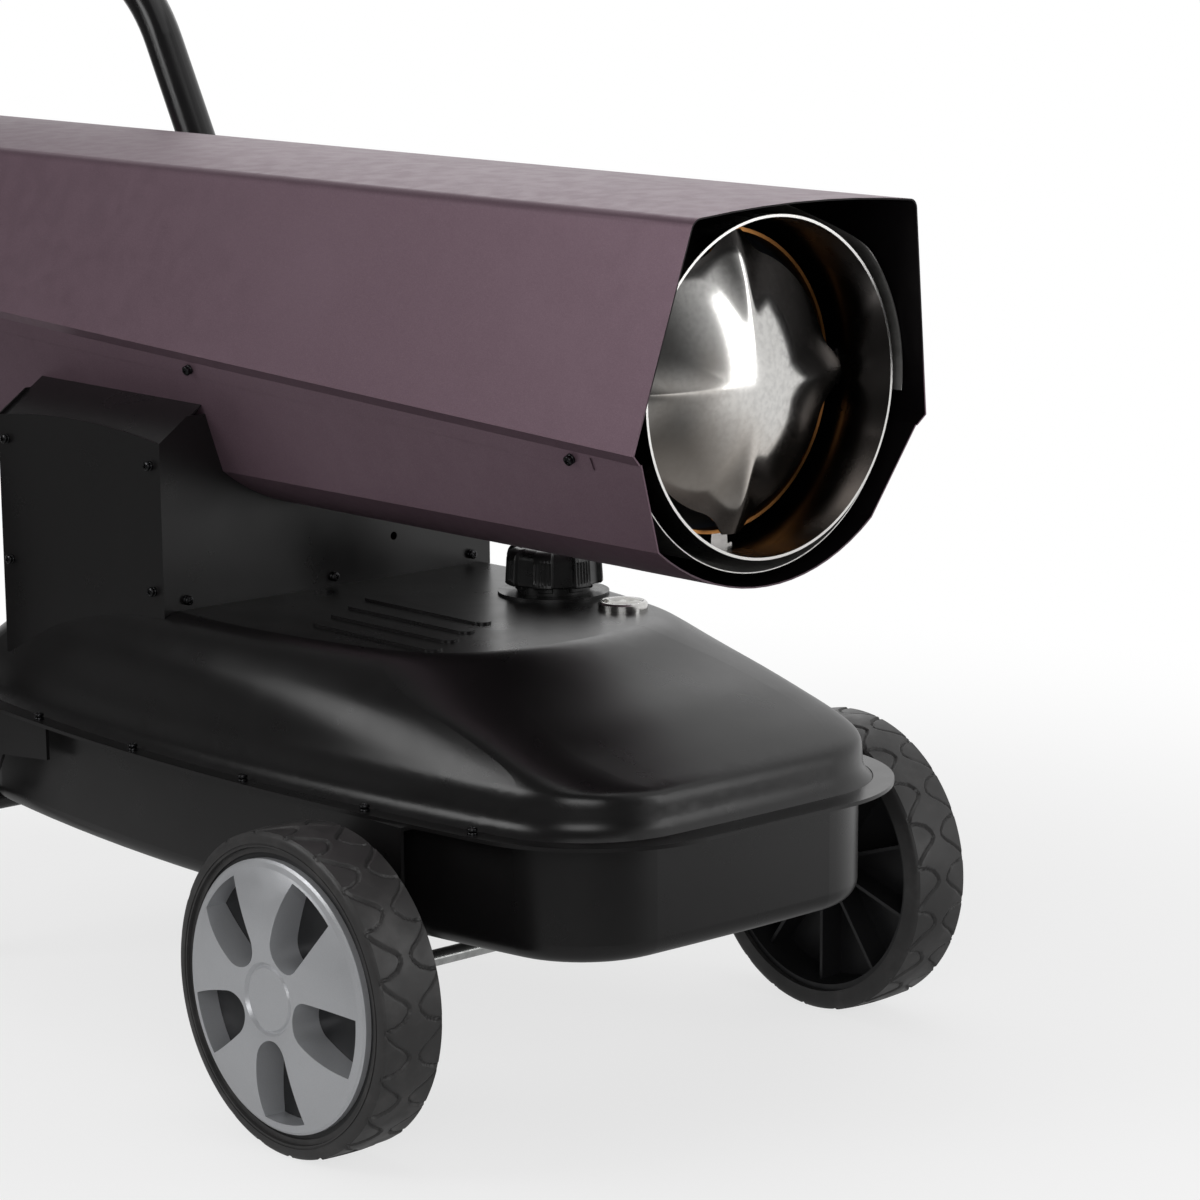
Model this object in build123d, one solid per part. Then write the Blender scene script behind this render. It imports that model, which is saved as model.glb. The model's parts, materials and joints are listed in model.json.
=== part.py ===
from build123d import *
import os
from math import cos, hypot, radians, sin, sqrt

# Oil-fired forced air heater on two wheels.
# Millimetres. Every piece is drawn with the wheel axle at X = 0, the burner axis at
# Y = 0 and the ground at Z = 0. X points the way the hot air leaves and Z is up.
# On writing, all pieces move along X, so that the origin is on the ground below the
# middle of the whole heater.

# ------------------------------------------------------------------ driving dimensions
# wheels and axle
WHEEL_R = 125.0
WHEEL_OUT_Y = 306.4
WHEEL_IN_Y = 249.9
TYRE_BORE_R = 108.0
COVER_R = 104.0
HUBCAP_R = 25.0
HUBCAP_OUT = 9.0
AXLE_Z = WHEEL_R
AXLE_R = 6.5
RUNNING_GAP = 0.06
WINDOWS = 5
FIRST_WINDOW = 60.0
CORE_RIBS = 10

# casing
BURNER_Z = 567.0
SHEET = 1.2
SHELL_REAR_X = -955.0
RIDGE_Y, RIDGE_Z = 112.5, 699.0
CROWN_Z = 705.0
RIDGE_FILLET = 9.0
SEAM_Y, SEAM_Z, SEAM_X = 150.0, 534.6, 213.0
SEAM_RISE = 0.0443
BEND_Y, BEND_Z = 111.0, 458.0
KEEL_Z = 420.0
JOGGLE = 8.0
FLANGE_DROP = 13.0
CASING_END_X = 255.0
FRONT_RAKE = [(201.0, KEEL_Z), (201.0, BEND_Z), (218.5, SEAM_Z), (241.0, RIDGE_Z), (241.8, CROWN_Z)]
NOTCH_X = 163.0

# hot gas path
OUTLET_R = 125.0
OUTLET_FRONT_X = 206.0
OUTLET_REAR_X = -150.0
CHAMBER_R = 112.0
CHAMBER_FRONT_X = 150.0
CHAMBER_REAR_X = -420.0
SHIELD_R = 133.0
DOME_RISE = 38.0
STAR_R = 98.0
STAR_TIP_HALF = 9.0
STAR_FILLET = 18.0
BAFFLE_SHEET = 1.5
# crest over each leg of the baffle: radius, half width, base and top above the chamber's front
CREST = [(40.0, 4.0, 30.0, 35.7), (80.0, 14.0, 16.0, 28.5), (112.0, 7.5, 1.6, 11.0)]

# tank
TANK_X = -225.0
TANK_HALF_L = 441.0
TANK_HALF_W = 222.0
TANK_SIDE_BOW = 41.0
TANK_END_BOW = 4.0
TANK_CORNER_R = 127.0
TANK_SEAM_Z = 244.0
TANK_TOP_Z = 350.0
TANK_BOTTOM_Z = 148.0
TANK_SHEET = 1.5
# level sections of the upper half: height, inset at the front, at the rear and at the sides,
# corner radius and bow of the ends; the roof falls gently to the front and steeply to the rear
TANK_UPPER = [(244, 22, 22, 13, 98, 4), (249, 27, 27, 18, 93, 4), (255, 30, 30, 21, 90, 4),
              (268, 31, 31, 22, 89, 4), (276, 34, 33, 23, 84, 5), (282, 44, 36, 24, 72, 8),
              (290, 62, 43, 25, 62, 16), (300, 86, 52, 26, 62, 28), (312, 116, 64, 28, 76, 38),
              (322, 144, 77, 31, 90, 44), (331, 168, 90, 36, 100, 44), (340, 190, 104, 43, 105, 40),
              (347, 208, 120, 52, 100, 34), (350, 222, 134, 62, 90, 28)]
# upright walls of the lower half: insets at the ends and sides, corner radius and lower edge
PAN_END_INSET, PAN_SIDE_INSET, PAN_CORNER_R, PAN_FILLET = 36.0, 23.0, 84.0, 16.0
BEADS = [(-120.0, -110.0, 150.0), (-138.0, -78.0, 150.0), (-156.0, -46.0, 150.0), (-174.0, -14.0, 150.0)]
BEAD_W, BEAD_H = 15.0, 2.0

# pedestal between tank and casing
PED_FRONT_X, PED_REAR_X = -313.0, -540.0
PED_HALF_W = 172.0
PED_FOOT_Z = 285.0
PED_SIDE_Z = 487.0
PED_ARCH = 7.5
PED_SHEET = 1.5
PED_LEDGE_Z = 506.5
PED_LEDGE_Y = 143.8

# controls on the far side panel: x, z and hole radius, then the switch's x and z
KNOB_HOLE = (-370.0, 430.0, 5.0)
RESET_HOLE = (-490.0, 430.0, 6.0)
SWITCH_AT = (-430.0, 430.0)
SPINDLE_R = 3.0
ROCKER_PIN_R = 1.5
RESET_R = 4.0

# inlet gland on the pedestal's rear panel
GLAND_Y, GLAND_Z, GLAND_R = -90.0, 385.0, 9.0

# filler and gauge on the tank top
CAP_X, CAP_Y, CAP_R = -164.0, 113.0, 41.0
CAP_Z, CAP_H = 355.0, 36.0
NECK_BORE_R, NECK_R, NECK_TOP_Z = 24.0, 30.0, 372.0
LOBES = 10
GAUGE_X, GAUGE_Y, GAUGE_R = -74.0, 108.0, 20.0
FLOAT_PIVOT_X, FLOAT_PIVOT_Z = -70.0, 300.0
FLOAT_PIN_R = 3.0
FLOAT_REACH, FLOAT_DROP = 62.0, 22.0

# handle and rear leg
HANDLE_R = 17.5
LEG_R = 14.0
TUBE_WALL = 1.5
HANDLE_ROUTE = [(-610.0, 172.0), (-610.0, 365.0), (-847.0, 807.0), (-934.0, 857.0)]
HANDLE_BENDS = [120.0, 150.0, 55.0]
LEG_X = -646.0
LEG_TOP_Z = 226.0
LEG_TIE_Z, LEG_TIE_R = 130.0, 11.0
FOOT_R, FOOT_H, FOOT_FLOOR = 20.0, 34.0, 5.0
BRACKET_Y = 201.0
HANDLE_Y = BRACKET_Y + HANDLE_R
AXLE_BRACKET_Y = 212.0
BRACKET_SHEET = 3.0

# blower
FAN_X = -655.0
FAN_R = 118.0
MOTOR_R = 46.0
MOTOR_FRONT_X, MOTOR_REAR_X = -700.0, -838.0
SHAFT_R = 5.0
GUARD_X = SHELL_REAR_X + 7.0
LINE_R = 3.0
FUEL_LINE = [(-490.0, 16.0, TANK_TOP_Z - 30), (-490.0, 16.0, 520.0), (-490.0, 0.0, BURNER_Z),
             (-470.0, 0.0, BURNER_Z)]
AIR_LINE = [(-862.0, 0.0, BURNER_Z - 50), (-862.0, 0.0, 428.0), (-456.0, 0.0, 428.0),
            (-456.0, 0.0, BURNER_Z - 9)]
GUARD_RINGS = (30.0, 62.0, 94.0, 126.0)
BLADES = 5

BURNER_AXIS = Axis((0, 0, BURNER_Z), (1, 0, 0))
WHEEL_AXIS = Axis((0, 0, AXLE_Z), (0, 1, 0))
LENGTHWISE = Plane(origin=(0, 0, 0), x_dir=(1, 0, 0), z_dir=(0, -1, 0))
ORIGIN_SHIFT = -(SHELL_REAR_X + FRONT_RAKE[-1][0]) / 2


# ------------------------------------------------------------------ shared helpers
def station(x):
    """Upright plane across the heater at X; its own axes are Y and Z."""
    return Plane(origin=(x, 0, 0), x_dir=(0, 1, 0), z_dir=(1, 0, 0))


def level(z):
    """Level plane at height Z; its own axes are X and Y."""
    return Plane(origin=(0, 0, z))


def polygon(points):
    return make_face(Polyline(*points, close=True))


def turned(points, plane, axis):
    """Ring or disc made by turning a closed outline about an axis."""
    return revolve(plane * polygon(points), axis)


def turned_on_burner(points):
    """Outline of (x, radius) turned about the burner axis."""
    return turned([(x, BURNER_Z + r) for x, r in points], LENGTHWISE, BURNER_AXIS)


def turned_upright(points, x, y):
    """Outline of (radius, z) turned about an upright axis at (x, y)."""
    return Pos(x, y, 0) * revolve(LENGTHWISE * polygon(points), Axis.Z)


def turned_on_axle(points):
    """Outline of (outward distance from the middle, radius) turned about the axle, on the near side."""
    return turned([(-y, AXLE_Z + r) for y, r in points], station(0), WHEEL_AXIS)


def side_plate(points, y, thickness):
    """Plate with an (x, z) outline; its outer face is at y and its thickness runs to the middle."""
    plate = extrude(LENGTHWISE * polygon(points), thickness)
    return Pos(0, y + thickness, 0) * plate if y < 0 else Pos(0, y, 0) * plate


def cross_plate(face, x, thickness):
    """Plate with a (y, z) outline; its front face is at x."""
    return extrude(station(x - thickness) * face, thickness)


def box_between(low, high):
    size = [b - a for a, b in zip(low, high)]
    middle = [(a + b) / 2 for a, b in zip(low, high)]
    return Pos(*middle) * Box(*size)


def rod(start, end, radius):
    """Round bar between two points."""
    way = Vector(*end) - Vector(*start)
    return extrude(Plane(origin=start, z_dir=way) * Circle(radius), way.length)


def screw_heads(places):
    """Pan heads of one size, each seated at a point and standing along a direction."""
    heads = []
    for point, way in places:
        seat = Plane(origin=point, z_dir=way)
        heads.append(seat * (Pos(0, 0, 1.5) * Cylinder(4.0, 3.0)))
    return heads


def both_sides(part):
    return [part, mirror(part, about=Plane.XZ)]


def parallel(points, distance):
    """Open polyline moved to its right-hand side by a distance, with mitred corners."""
    normals = []
    for (ax, ay), (bx, by) in zip(points, points[1:]):
        length = hypot(bx - ax, by - ay)
        normals.append(((by - ay) / length, (ax - bx) / length))
    moved = []
    for i, (px, py) in enumerate(points):
        before = normals[max(i - 1, 0)]
        after = normals[min(i, len(normals) - 1)]
        scale = distance / (1 + before[0] * after[0] + before[1] * after[1])
        moved.append((px + scale * (before[0] + after[0]), py + scale * (before[1] + after[1])))
    return moved


def other_side(points):
    return [(-y, z) for y, z in reversed(points)]


# ------------------------------------------------------------------ casing
def seam_z(x):
    return SEAM_Z + SEAM_RISE * (SEAM_X - x)


def upper_side(x):
    """Right-hand outer line of the upper sheet: ridge, seam edge, joggle, end of flange."""
    edge = (SEAM_Y, seam_z(x))
    fold = (edge[0] - JOGGLE, edge[1] - JOGGLE)
    run = hypot(fold[0] - BEND_Y, fold[1] - BEND_Z)
    share = FLANGE_DROP / run
    end = (fold[0] + (BEND_Y - fold[0]) * share, fold[1] + (BEND_Z - fold[1]) * share)
    return [(RIDGE_Y, RIDGE_Z), edge, fold, end]


def lower_side(x):
    """Right-hand outer line of the lower sheet, which lies inside the upper sheet's flange."""
    edge, fold = upper_side(x)[1:3]
    return parallel([edge, fold, (BEND_Y, BEND_Z)], SHEET)[1:]


def upper_section(x):
    outer = upper_side(x)
    inner = parallel([(0, CROWN_Z)] + outer, SHEET)[1:]
    wire = [
        ThreePointArc((-RIDGE_Y, RIDGE_Z), (0, CROWN_Z), (RIDGE_Y, RIDGE_Z)),
        Polyline(*outer),
        Line(outer[-1], inner[-1]),
        Polyline(*reversed(inner)),
        ThreePointArc(inner[0], (0, CROWN_Z - SHEET), (-inner[0][0], inner[0][1])),
        Polyline(*reversed(other_side(inner))),
        Line((-inner[-1][0], inner[-1][1]), (-outer[-1][0], outer[-1][1])),
        Polyline(*other_side(outer)),
    ]
    face = make_face(wire)
    face = fillet([v for v in face.vertices() if v.Y > RIDGE_Z - 0.5], RIDGE_FILLET)
    inner_ridges = [v for v in face.vertices() if hypot(abs(v.X) - inner[0][0], v.Y - inner[0][1]) < 0.1]
    return station(x) * fillet(inner_ridges, RIDGE_FILLET - SHEET)


def lower_section(x):
    outer = lower_side(x)
    inner = parallel(outer + [(0, KEEL_Z)], SHEET)[:2]
    wire = [
        Polyline(*outer),
        ThreePointArc(outer[-1], (0, KEEL_Z), (-outer[-1][0], outer[-1][1])),
        Polyline(*other_side(outer)),
        Line((-outer[0][0], outer[0][1]), (-inner[0][0], inner[0][1])),
        Polyline(*reversed(other_side(inner))),
        ThreePointArc((-inner[-1][0], inner[-1][1]), (0, KEEL_Z + SHEET), inner[-1]),
        Polyline(*reversed(inner)),
        Line(inner[0], outer[0]),
    ]
    return station(x) * make_face(wire)


def casing_section(x, inset):
    """Filled section of the whole casing, drawn in from its outer face by an inset."""
    upper = parallel([(0, CROWN_Z)] + upper_side(x), inset)[1:3]
    lower = parallel(lower_side(x) + [(0, KEEL_Z)], inset)[:2]
    side = upper + lower
    wire = [
        ThreePointArc((-side[0][0], side[0][1]), (0, CROWN_Z - inset), side[0]),
        Polyline(*side),
        ThreePointArc(side[-1], (0, KEEL_Z + inset), (-side[-1][0], side[-1][1])),
        Polyline(*other_side(side)),
    ]
    face = make_face(wire)
    ridges = [v for v in face.vertices() if hypot(abs(v.X) - side[0][0], v.Y - side[0][1]) < 0.1]
    return station(x) * fillet(ridges, RIDGE_FILLET - inset)


def past_front():
    """Everything in front of the raked front edge."""
    (low_x, low_z), (high_x, high_z) = FRONT_RAKE[0], FRONT_RAKE[-1]
    outline = [(low_x, low_z - 50)] + FRONT_RAKE + [(high_x, high_z + 50), (high_x + 200, high_z + 50)]
    outline.append((high_x + 200, low_z - 50))
    return side_plate(outline, -250, 500)


def upper_shell():
    shell = loft([upper_section(SHELL_REAR_X), upper_section(CASING_END_X)], ruled=True)
    notch = box_between((NOTCH_X, -200, 400), (300, 200, seam_z(NOTCH_X) - JOGGLE - 2))
    return shell - past_front() - notch


def lower_shell():
    shell = loft([lower_section(SHELL_REAR_X), lower_section(CASING_END_X)], ruled=True)
    line_hole = Pos(FUEL_LINE[0][0], FUEL_LINE[0][1], KEEL_Z) * Cylinder(LINE_R, 20)
    return shell - past_front() - upper_shell() - line_hole


def casing_blank(x0, x1, inset=0.0):
    """Solid length of the casing between two stations."""
    whole = loft([casing_section(SHELL_REAR_X, inset), casing_section(CASING_END_X, inset)], ruled=True)
    return whole & box_between((x0, -300, 300), (x1, 300, 900))


def casing_room(x0, x1):
    """Free space inside both sheets between two stations."""
    return casing_blank(x0, x1, SHEET + 0.05)


def shell_screws():
    """Screws along the lower edge of the upper sheet, on both sides."""
    heads = []
    for x in (142.0, -313.0, -720.0, -930.0):
        fold, end = upper_side(x)[2:]
        way = Vector(0, fold[1] - end[1], end[0] - fold[0]).normalized()
        middle = Vector(x, (fold[0] + end[0]) / 2, (fold[1] + end[1]) / 2) + way * 0.03
        heads += screw_heads([(middle, way)])
    return heads + [mirror(h, about=Plane.XZ) for h in heads]


# ------------------------------------------------------------------ hot gas path
def tube_on_burner(x0, x1, radius, wall):
    return turned_on_burner([(x0, radius - wall), (x1, radius - wall), (x1, radius), (x0, radius)])


def sector(x0, x1, r0, r1, start, span):
    """Piece of a tube about the burner axis; the angle is counted from +Y towards +Z."""
    band = Circle(r1) - Circle(r0)
    wedge = [(0, 0)]
    for i in range(5):
        turn = radians(start + span * i / 4)
        wedge.append((2 * r1 * cos(turn), 2 * r1 * sin(turn)))
    across = station(x0) * Pos(0, BURNER_Z)
    return extrude(across * (band & polygon(wedge)), x1 - x0)


def outlet_tube():
    tube = tube_on_burner(OUTLET_REAR_X, OUTLET_FRONT_X - 2, OUTLET_R, SHEET)
    lip = tube_on_burner(OUTLET_FRONT_X - 2, OUTLET_FRONT_X, OUTLET_R + 0.8, SHEET + 0.8)
    return tube + lip


def combustion_chamber():
    barrel = tube_on_burner(CHAMBER_REAR_X, CHAMBER_FRONT_X - 5, CHAMBER_R, SHEET)
    bead = tube_on_burner(CHAMBER_FRONT_X - 5, CHAMBER_FRONT_X, CHAMBER_R + 1.5, SHEET + 1.5)
    return barrel + bead


def baffle_outline():
    """Star of four legs about the burner axis, as seen from the front."""
    star = Circle(STAR_R)
    for turn in (0, 90, 180, 270):
        root, tip = 3.3 * STAR_TIP_HALF, STAR_TIP_HALF
        leg = polygon([(STAR_R - 12, -root), (CHAMBER_R, -tip), (CHAMBER_R, tip), (STAR_R - 12, root)])
        star += Rot(0, 0, turn) * leg
    notches = [v for v in star.vertices() if abs(hypot(v.X, v.Y) - STAR_R) < 0.01]
    return fillet(notches, STAR_FILLET)


def baffle_crest(turn, inset):
    """Rounded crest that runs from a leg's tip in to the dome, drawn in by an inset."""
    sections = []
    for radius, half, base, top in CREST:
        across = Plane(origin=(CHAMBER_FRONT_X, 0, BURNER_Z + radius), x_dir=(0, 1, 0), z_dir=(0, 0, 1))
        left, right = (inset - half, -base), (half - inset, -base)
        arch = [ThreePointArc(left, (0, inset - top), right), Line(right, left)]
        sections.append(across * make_face(arch))
    return loft(sections).rotate(BURNER_AXIS, turn)


def dome_shell():
    """Sheet metal dome that reaches the chamber's rim."""
    rim, foot = CHAMBER_R + 1.5, CHAMBER_FRONT_X + BAFFLE_SHEET
    ball_r = (rim ** 2 + DOME_RISE ** 2) / (2 * DOME_RISE)
    middle_x = foot + DOME_RISE - ball_r + sqrt(ball_r ** 2 - (rim / 2) ** 2)
    top = foot + DOME_RISE
    wire = [
        ThreePointArc((foot, BURNER_Z + rim), (middle_x, BURNER_Z + rim / 2), (top, BURNER_Z)),
        Line((top, BURNER_Z), (top - BAFFLE_SHEET, BURNER_Z)),
        ThreePointArc((top - BAFFLE_SHEET, BURNER_Z), (middle_x - BAFFLE_SHEET, BURNER_Z + rim / 2),
                      (foot - BAFFLE_SHEET, BURNER_Z + rim)),
        Line((foot - BAFFLE_SHEET, BURNER_Z + rim), (foot, BURNER_Z + rim)),
    ]
    return revolve(LENGTHWISE * make_face(wire), BURNER_AXIS)


def flame_baffle():
    """Pressed star in front of the flame: a dome that runs out into four hollow ribbed legs."""
    star = station(CHAMBER_FRONT_X) * Pos(0, BURNER_Z) * baffle_outline()
    baffle = dome_shell() & extrude(star, DOME_RISE + 5)
    for turn in (0, 90, 180, 270):
        crest = baffle_crest(turn, 0)
        baffle = baffle - crest + (crest - baffle_crest(turn, 1.4))
    return baffle


def baffle_brackets():
    """Four clips that hold the baffle and the chamber inside the outlet tube."""
    inside = OUTLET_R - SHEET
    clips = []
    for turn in (0, 90, 180, 270):
        foot = sector(CHAMBER_FRONT_X - 32, CHAMBER_FRONT_X, inside - 1.5, inside, turn - 6, 12)
        web = sector(CHAMBER_FRONT_X - 1.5, CHAMBER_FRONT_X, CHAMBER_R + 1.5, inside - 1.5, turn - 4, 8)
        clips.append(foot + web)
    return clips


def upper_heat_shield():
    shield = sector(20, 203, SHIELD_R - 1, SHIELD_R, -6, 192)
    lip_z = BURNER_Z + SHIELD_R * sin(radians(-6))
    wing = box_between((20, SHIELD_R - 1, lip_z), (196, 170, lip_z + 1)) & casing_room(0, 190)
    return shield + wing + mirror(wing, about=Plane.XZ)


def lower_heat_shield():
    shield = sector(20, 192, SHIELD_R - 1, SHIELD_R, 206, 128)
    lip_z = BURNER_Z + SHIELD_R * sin(radians(206))
    lip_y = -SHIELD_R * cos(radians(206))
    wing = box_between((20, lip_y - 1, lip_z), (192, 170, lip_z + 1)) & casing_room(0, 190)
    return shield + wing + mirror(wing, about=Plane.XZ)


def chamber_saddles():
    """Two upright plates on the casing floor that carry the outlet tube and the chamber."""
    plates = []
    for x, radius in ((-20.0, OUTLET_R), (-390.0, CHAMBER_R)):
        blank = casing_room(x - 3, x) & box_between((x - 3, -80, 400), (x, 80, 500))
        plates.append(blank - Pos(x, 0, BURNER_Z) * Rot(0, 90, 0) * Cylinder(radius, 20))
    return plates


# ------------------------------------------------------------------ burner
def burner_head():
    """Rear wall of the chamber with twelve swirl slots round the flame hole."""
    back = CHAMBER_REAR_X
    head = turned_on_burner([(back - 4, 30), (back, 30), (back, CHAMBER_R), (back - 4, CHAMBER_R)])
    for i in range(12):
        slot = Pos(back - 2, 0, BURNER_Z + 70) * Box(10, 7, 44)
        head -= slot.rotate(BURNER_AXIS, 30 * i)
    for y in (-12, 12):
        head -= Pos(back, y, BURNER_Z + 34) * Rot(0, 90, 0) * Cylinder(4, 20)
    return head


def nozzle_holder():
    """Cross bar behind the flame hole with the barrel that takes the nozzle."""
    back = CHAMBER_REAR_X - 4
    bar = box_between((back - 22, -10, BURNER_Z - 38), (back - 19, 10, BURNER_Z + 24))
    feet = [box_between((back - 22, -10, BURNER_Z + z), (back, 10, BURNER_Z + z + 3)) for z in (-41, 24)]
    barrel = turned_on_burner([(back - 46, 0), (back - 12, 0), (back - 12, 11), (back - 46, 11)])
    return bar + feet[0] + feet[1] + barrel


def fuel_nozzle():
    back = CHAMBER_REAR_X - 16
    return turned_on_burner([(back, 0), (back + 16, 0), (back + 16, 3), (back + 10, 7), (back, 8)])


def ignition_electrodes():
    """Two porcelain sleeves through the burner head, each with its bent tip."""
    pair = []
    for y in (-12, 12):
        sleeve = rod((CHAMBER_REAR_X - 30, y, BURNER_Z + 34), (CHAMBER_REAR_X + 6, y, BURNER_Z + 34), 4)
        tip = rod((CHAMBER_REAR_X + 5, y, BURNER_Z + 34), (CHAMBER_REAR_X + 14, y / 4, BURNER_Z + 16), 1.2)
        pair.append(sleeve + tip)
    return pair


def flame_sensor():
    """Round light sensor at the foot of the burner head."""
    z = BURNER_Z - CHAMBER_R + 11
    return rod((CHAMBER_REAR_X - 30, 0, z), (CHAMBER_REAR_X - 4, 0, z), 9)


def line_tube(points):
    path = FilletPolyline(*points, radius=10)
    return sweep(Plane(origin=path @ 0, z_dir=path % 0) * Circle(LINE_R), path=path)


def burner_lines():
    """Fuel line from the tank top and air line from the pump, both to the nozzle holder."""
    return [line_tube(FUEL_LINE) - tank_lid(), line_tube(AIR_LINE) - nozzle_holder()]


# ------------------------------------------------------------------ blower
def fan():
    """Blades on a boss; each blade is twisted, and steeper at the root."""
    boss = turned_on_burner([(FAN_X - 16, SHAFT_R), (FAN_X + 14, SHAFT_R), (FAN_X + 14, 20),
                             (FAN_X - 16, 24)])
    sections = []
    for radius, pitch, chord in ((19.0, 50.0, 30.0), (70.0, 58.0, 54.0), (FAN_R, 66.0, 62.0)):
        across = Plane(origin=(FAN_X, 0, BURNER_Z + radius), z_dir=(0, 0, 1))
        sections.append(across * Rot(0, 0, pitch) * Rectangle(chord, 2.0))
    blade = loft(sections)
    for i in range(BLADES):
        boss += blade.rotate(BURNER_AXIS, 360 / BLADES * i)
    return boss


def motor_shaft():
    return rod((MOTOR_REAR_X - 16, 0, BURNER_Z), (FAN_X + 14, 0, BURNER_Z), SHAFT_R)


def pump_rotor():
    rotor = turned_on_burner([(MOTOR_REAR_X - 15.5, SHAFT_R), (MOTOR_REAR_X - 0.5, SHAFT_R),
                              (MOTOR_REAR_X - 0.5, 20), (MOTOR_REAR_X - 15.5, 20)])
    for i in range(4):
        slot = box_between((MOTOR_REAR_X - 20, -1.5, BURNER_Z + 13), (MOTOR_REAR_X + 5, 1.5, BURNER_Z + 25))
        rotor -= slot.rotate(BURNER_AXIS, 90 * i)
    return rotor


def motor():
    front, rear, bore = MOTOR_FRONT_X, MOTOR_REAR_X, SHAFT_R + RUNNING_GAP
    body = turned_on_burner([(rear, bore), (front, bore), (front, 30), (front - 8, MOTOR_R - 3),
                             (front - 14, MOTOR_R), (rear + 14, MOTOR_R), (rear + 8, MOTOR_R - 3),
                             (rear, 38)])
    for i in range(12):
        low, high = BURNER_Z + MOTOR_R - 2, BURNER_Z + MOTOR_R + 5
        groove = box_between((rear + 24, -3, low), (front - 24, 3, high))
        body -= groove.rotate(BURNER_AXIS, 30 * i)
    return body


def motor_plate():
    """Upright strap across the casing that the motor's front end is bolted to."""
    x = MOTOR_FRONT_X
    strap = polygon([(-34, 400), (34, 400), (34, 720), (-34, 720)]) + Pos(0, BURNER_Z) * Circle(60)
    plate = cross_plate(strap, x + 3, 3) & casing_room(x, x + 3)
    plate -= Pos(x, 0, AIR_LINE[1][2]) * Rot(0, 90, 0) * Cylinder(LINE_R, 20)
    return plate - Pos(x, 0, BURNER_Z) * Rot(0, 90, 0) * Cylinder(22, 20)


def fan_shroud():
    """Ring plate that fills the casing round the fan."""
    x = FAN_X + 6
    ring = casing_room(x - 1.5, x + 1.5) - Pos(x, 0, BURNER_Z) * Rot(0, 90, 0) * Cylinder(FAN_R + 6, 20)
    return ring - Pos(x, 0, AIR_LINE[1][2]) * Rot(0, 90, 0) * Cylinder(LINE_R, 20)


def pump_ring():
    rear = MOTOR_REAR_X
    return turned_on_burner([(rear - 16, 24), (rear, 24), (rear, 34), (rear - 16, 36)])


def pump_cover():
    """Cover with the two filter chambers."""
    rear = MOTOR_REAR_X - 16
    return turned_on_burner([(rear - 6, 0), (rear, 0), (rear, 36), (rear - 2, 50), (rear - 14, 50),
                             (rear - 16, 48), (rear - 16, 26), (rear - 6, 24)])


def pressure_gauge():
    face = MOTOR_REAR_X - 22
    return turned_on_burner([(face - 14, 0), (face, 0), (face, 6), (face - 5, 6), (face - 5, 18),
                             (face - 14, 18)])


def rear_guard():
    """Wire guard: four rings on four crossing wires whose ends touch the casing wall."""
    wire = rod((GUARD_X, -200, BURNER_Z), (GUARD_X, 200, BURNER_Z), 2.0)
    guard = wire
    for i in range(1, 4):
        guard += wire.rotate(BURNER_AXIS, 45 * i)
    guard &= casing_room(SHELL_REAR_X, GUARD_X + 5)
    for radius in GUARD_RINGS:
        hoop = station(GUARD_X - 3) * (Pos(0, BURNER_Z) * (Circle(radius + 2) - Circle(radius - 2)))
        guard += extrude(hoop, 3.5)
    return guard


# ------------------------------------------------------------------ tank
def tank_outline(front_inset, rear_inset, side_inset, corner, end_bow=TANK_END_BOW):
    """Level outline of the tank: bowed sides and ends, round corners."""
    front, rear = TANK_HALF_L - front_inset, rear_inset - TANK_HALF_L
    side = TANK_HALF_W - side_inset
    front_x, rear_x, corner_y = front - end_bow, rear + end_bow, side - TANK_SIDE_BOW
    middle = (front + rear) / 2
    wire = [
        ThreePointArc((front_x, -corner_y), (front, 0), (front_x, corner_y)),
        ThreePointArc((front_x, corner_y), (middle, side), (rear_x, corner_y)),
        ThreePointArc((rear_x, corner_y), (rear, 0), (rear_x, -corner_y)),
        ThreePointArc((rear_x, -corner_y), (middle, -side), (front_x, -corner_y)),
    ]
    face = make_face(wire)
    return Pos(TANK_X, 0) * fillet(face.vertices(), corner)


def tank_lid(inset=0.0):
    """Solid of the upper half; an inset draws the walls in at once and the roof step by step."""
    sections = []
    for i, (z, front, rear, side, corner, end_bow) in enumerate(TANK_UPPER):
        drop = inset * i / (len(TANK_UPPER) - 1)
        outline = tank_outline(front + inset, rear + inset, side + inset, corner - inset, end_bow)
        sections.append(level(z - drop) * outline)
    return loft(sections)


def tank_pan(inset=0.0):
    """Solid of the lower half: upright walls and a rounded lower edge."""
    end, side = PAN_END_INSET + inset, PAN_SIDE_INSET + inset
    outline = tank_outline(end, end, side, PAN_CORNER_R - inset)
    floor = TANK_BOTTOM_Z + inset
    pan = extrude(level(floor) * outline, TANK_SEAM_Z - floor)
    return fillet(pan.edges().group_by(Axis.Z)[0], PAN_FILLET - inset)


def tank_flange(end_inset, side_inset, corner, z):
    hole = tank_outline(end_inset + 1, end_inset + 1, side_inset + 1, corner - 1)
    return extrude(level(z) * (tank_outline(0, 0, 0, TANK_CORNER_R) - hole), TANK_SHEET)


def tank_half_width(x):
    """Half width of the flange's outer edge at a station between the corners."""
    half = TANK_HALF_L - TANK_END_BOW
    bow_r = (half ** 2 + TANK_SIDE_BOW ** 2) / (2 * TANK_SIDE_BOW)
    return TANK_HALF_W - bow_r + sqrt(bow_r ** 2 - (x - TANK_X) ** 2)


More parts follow.
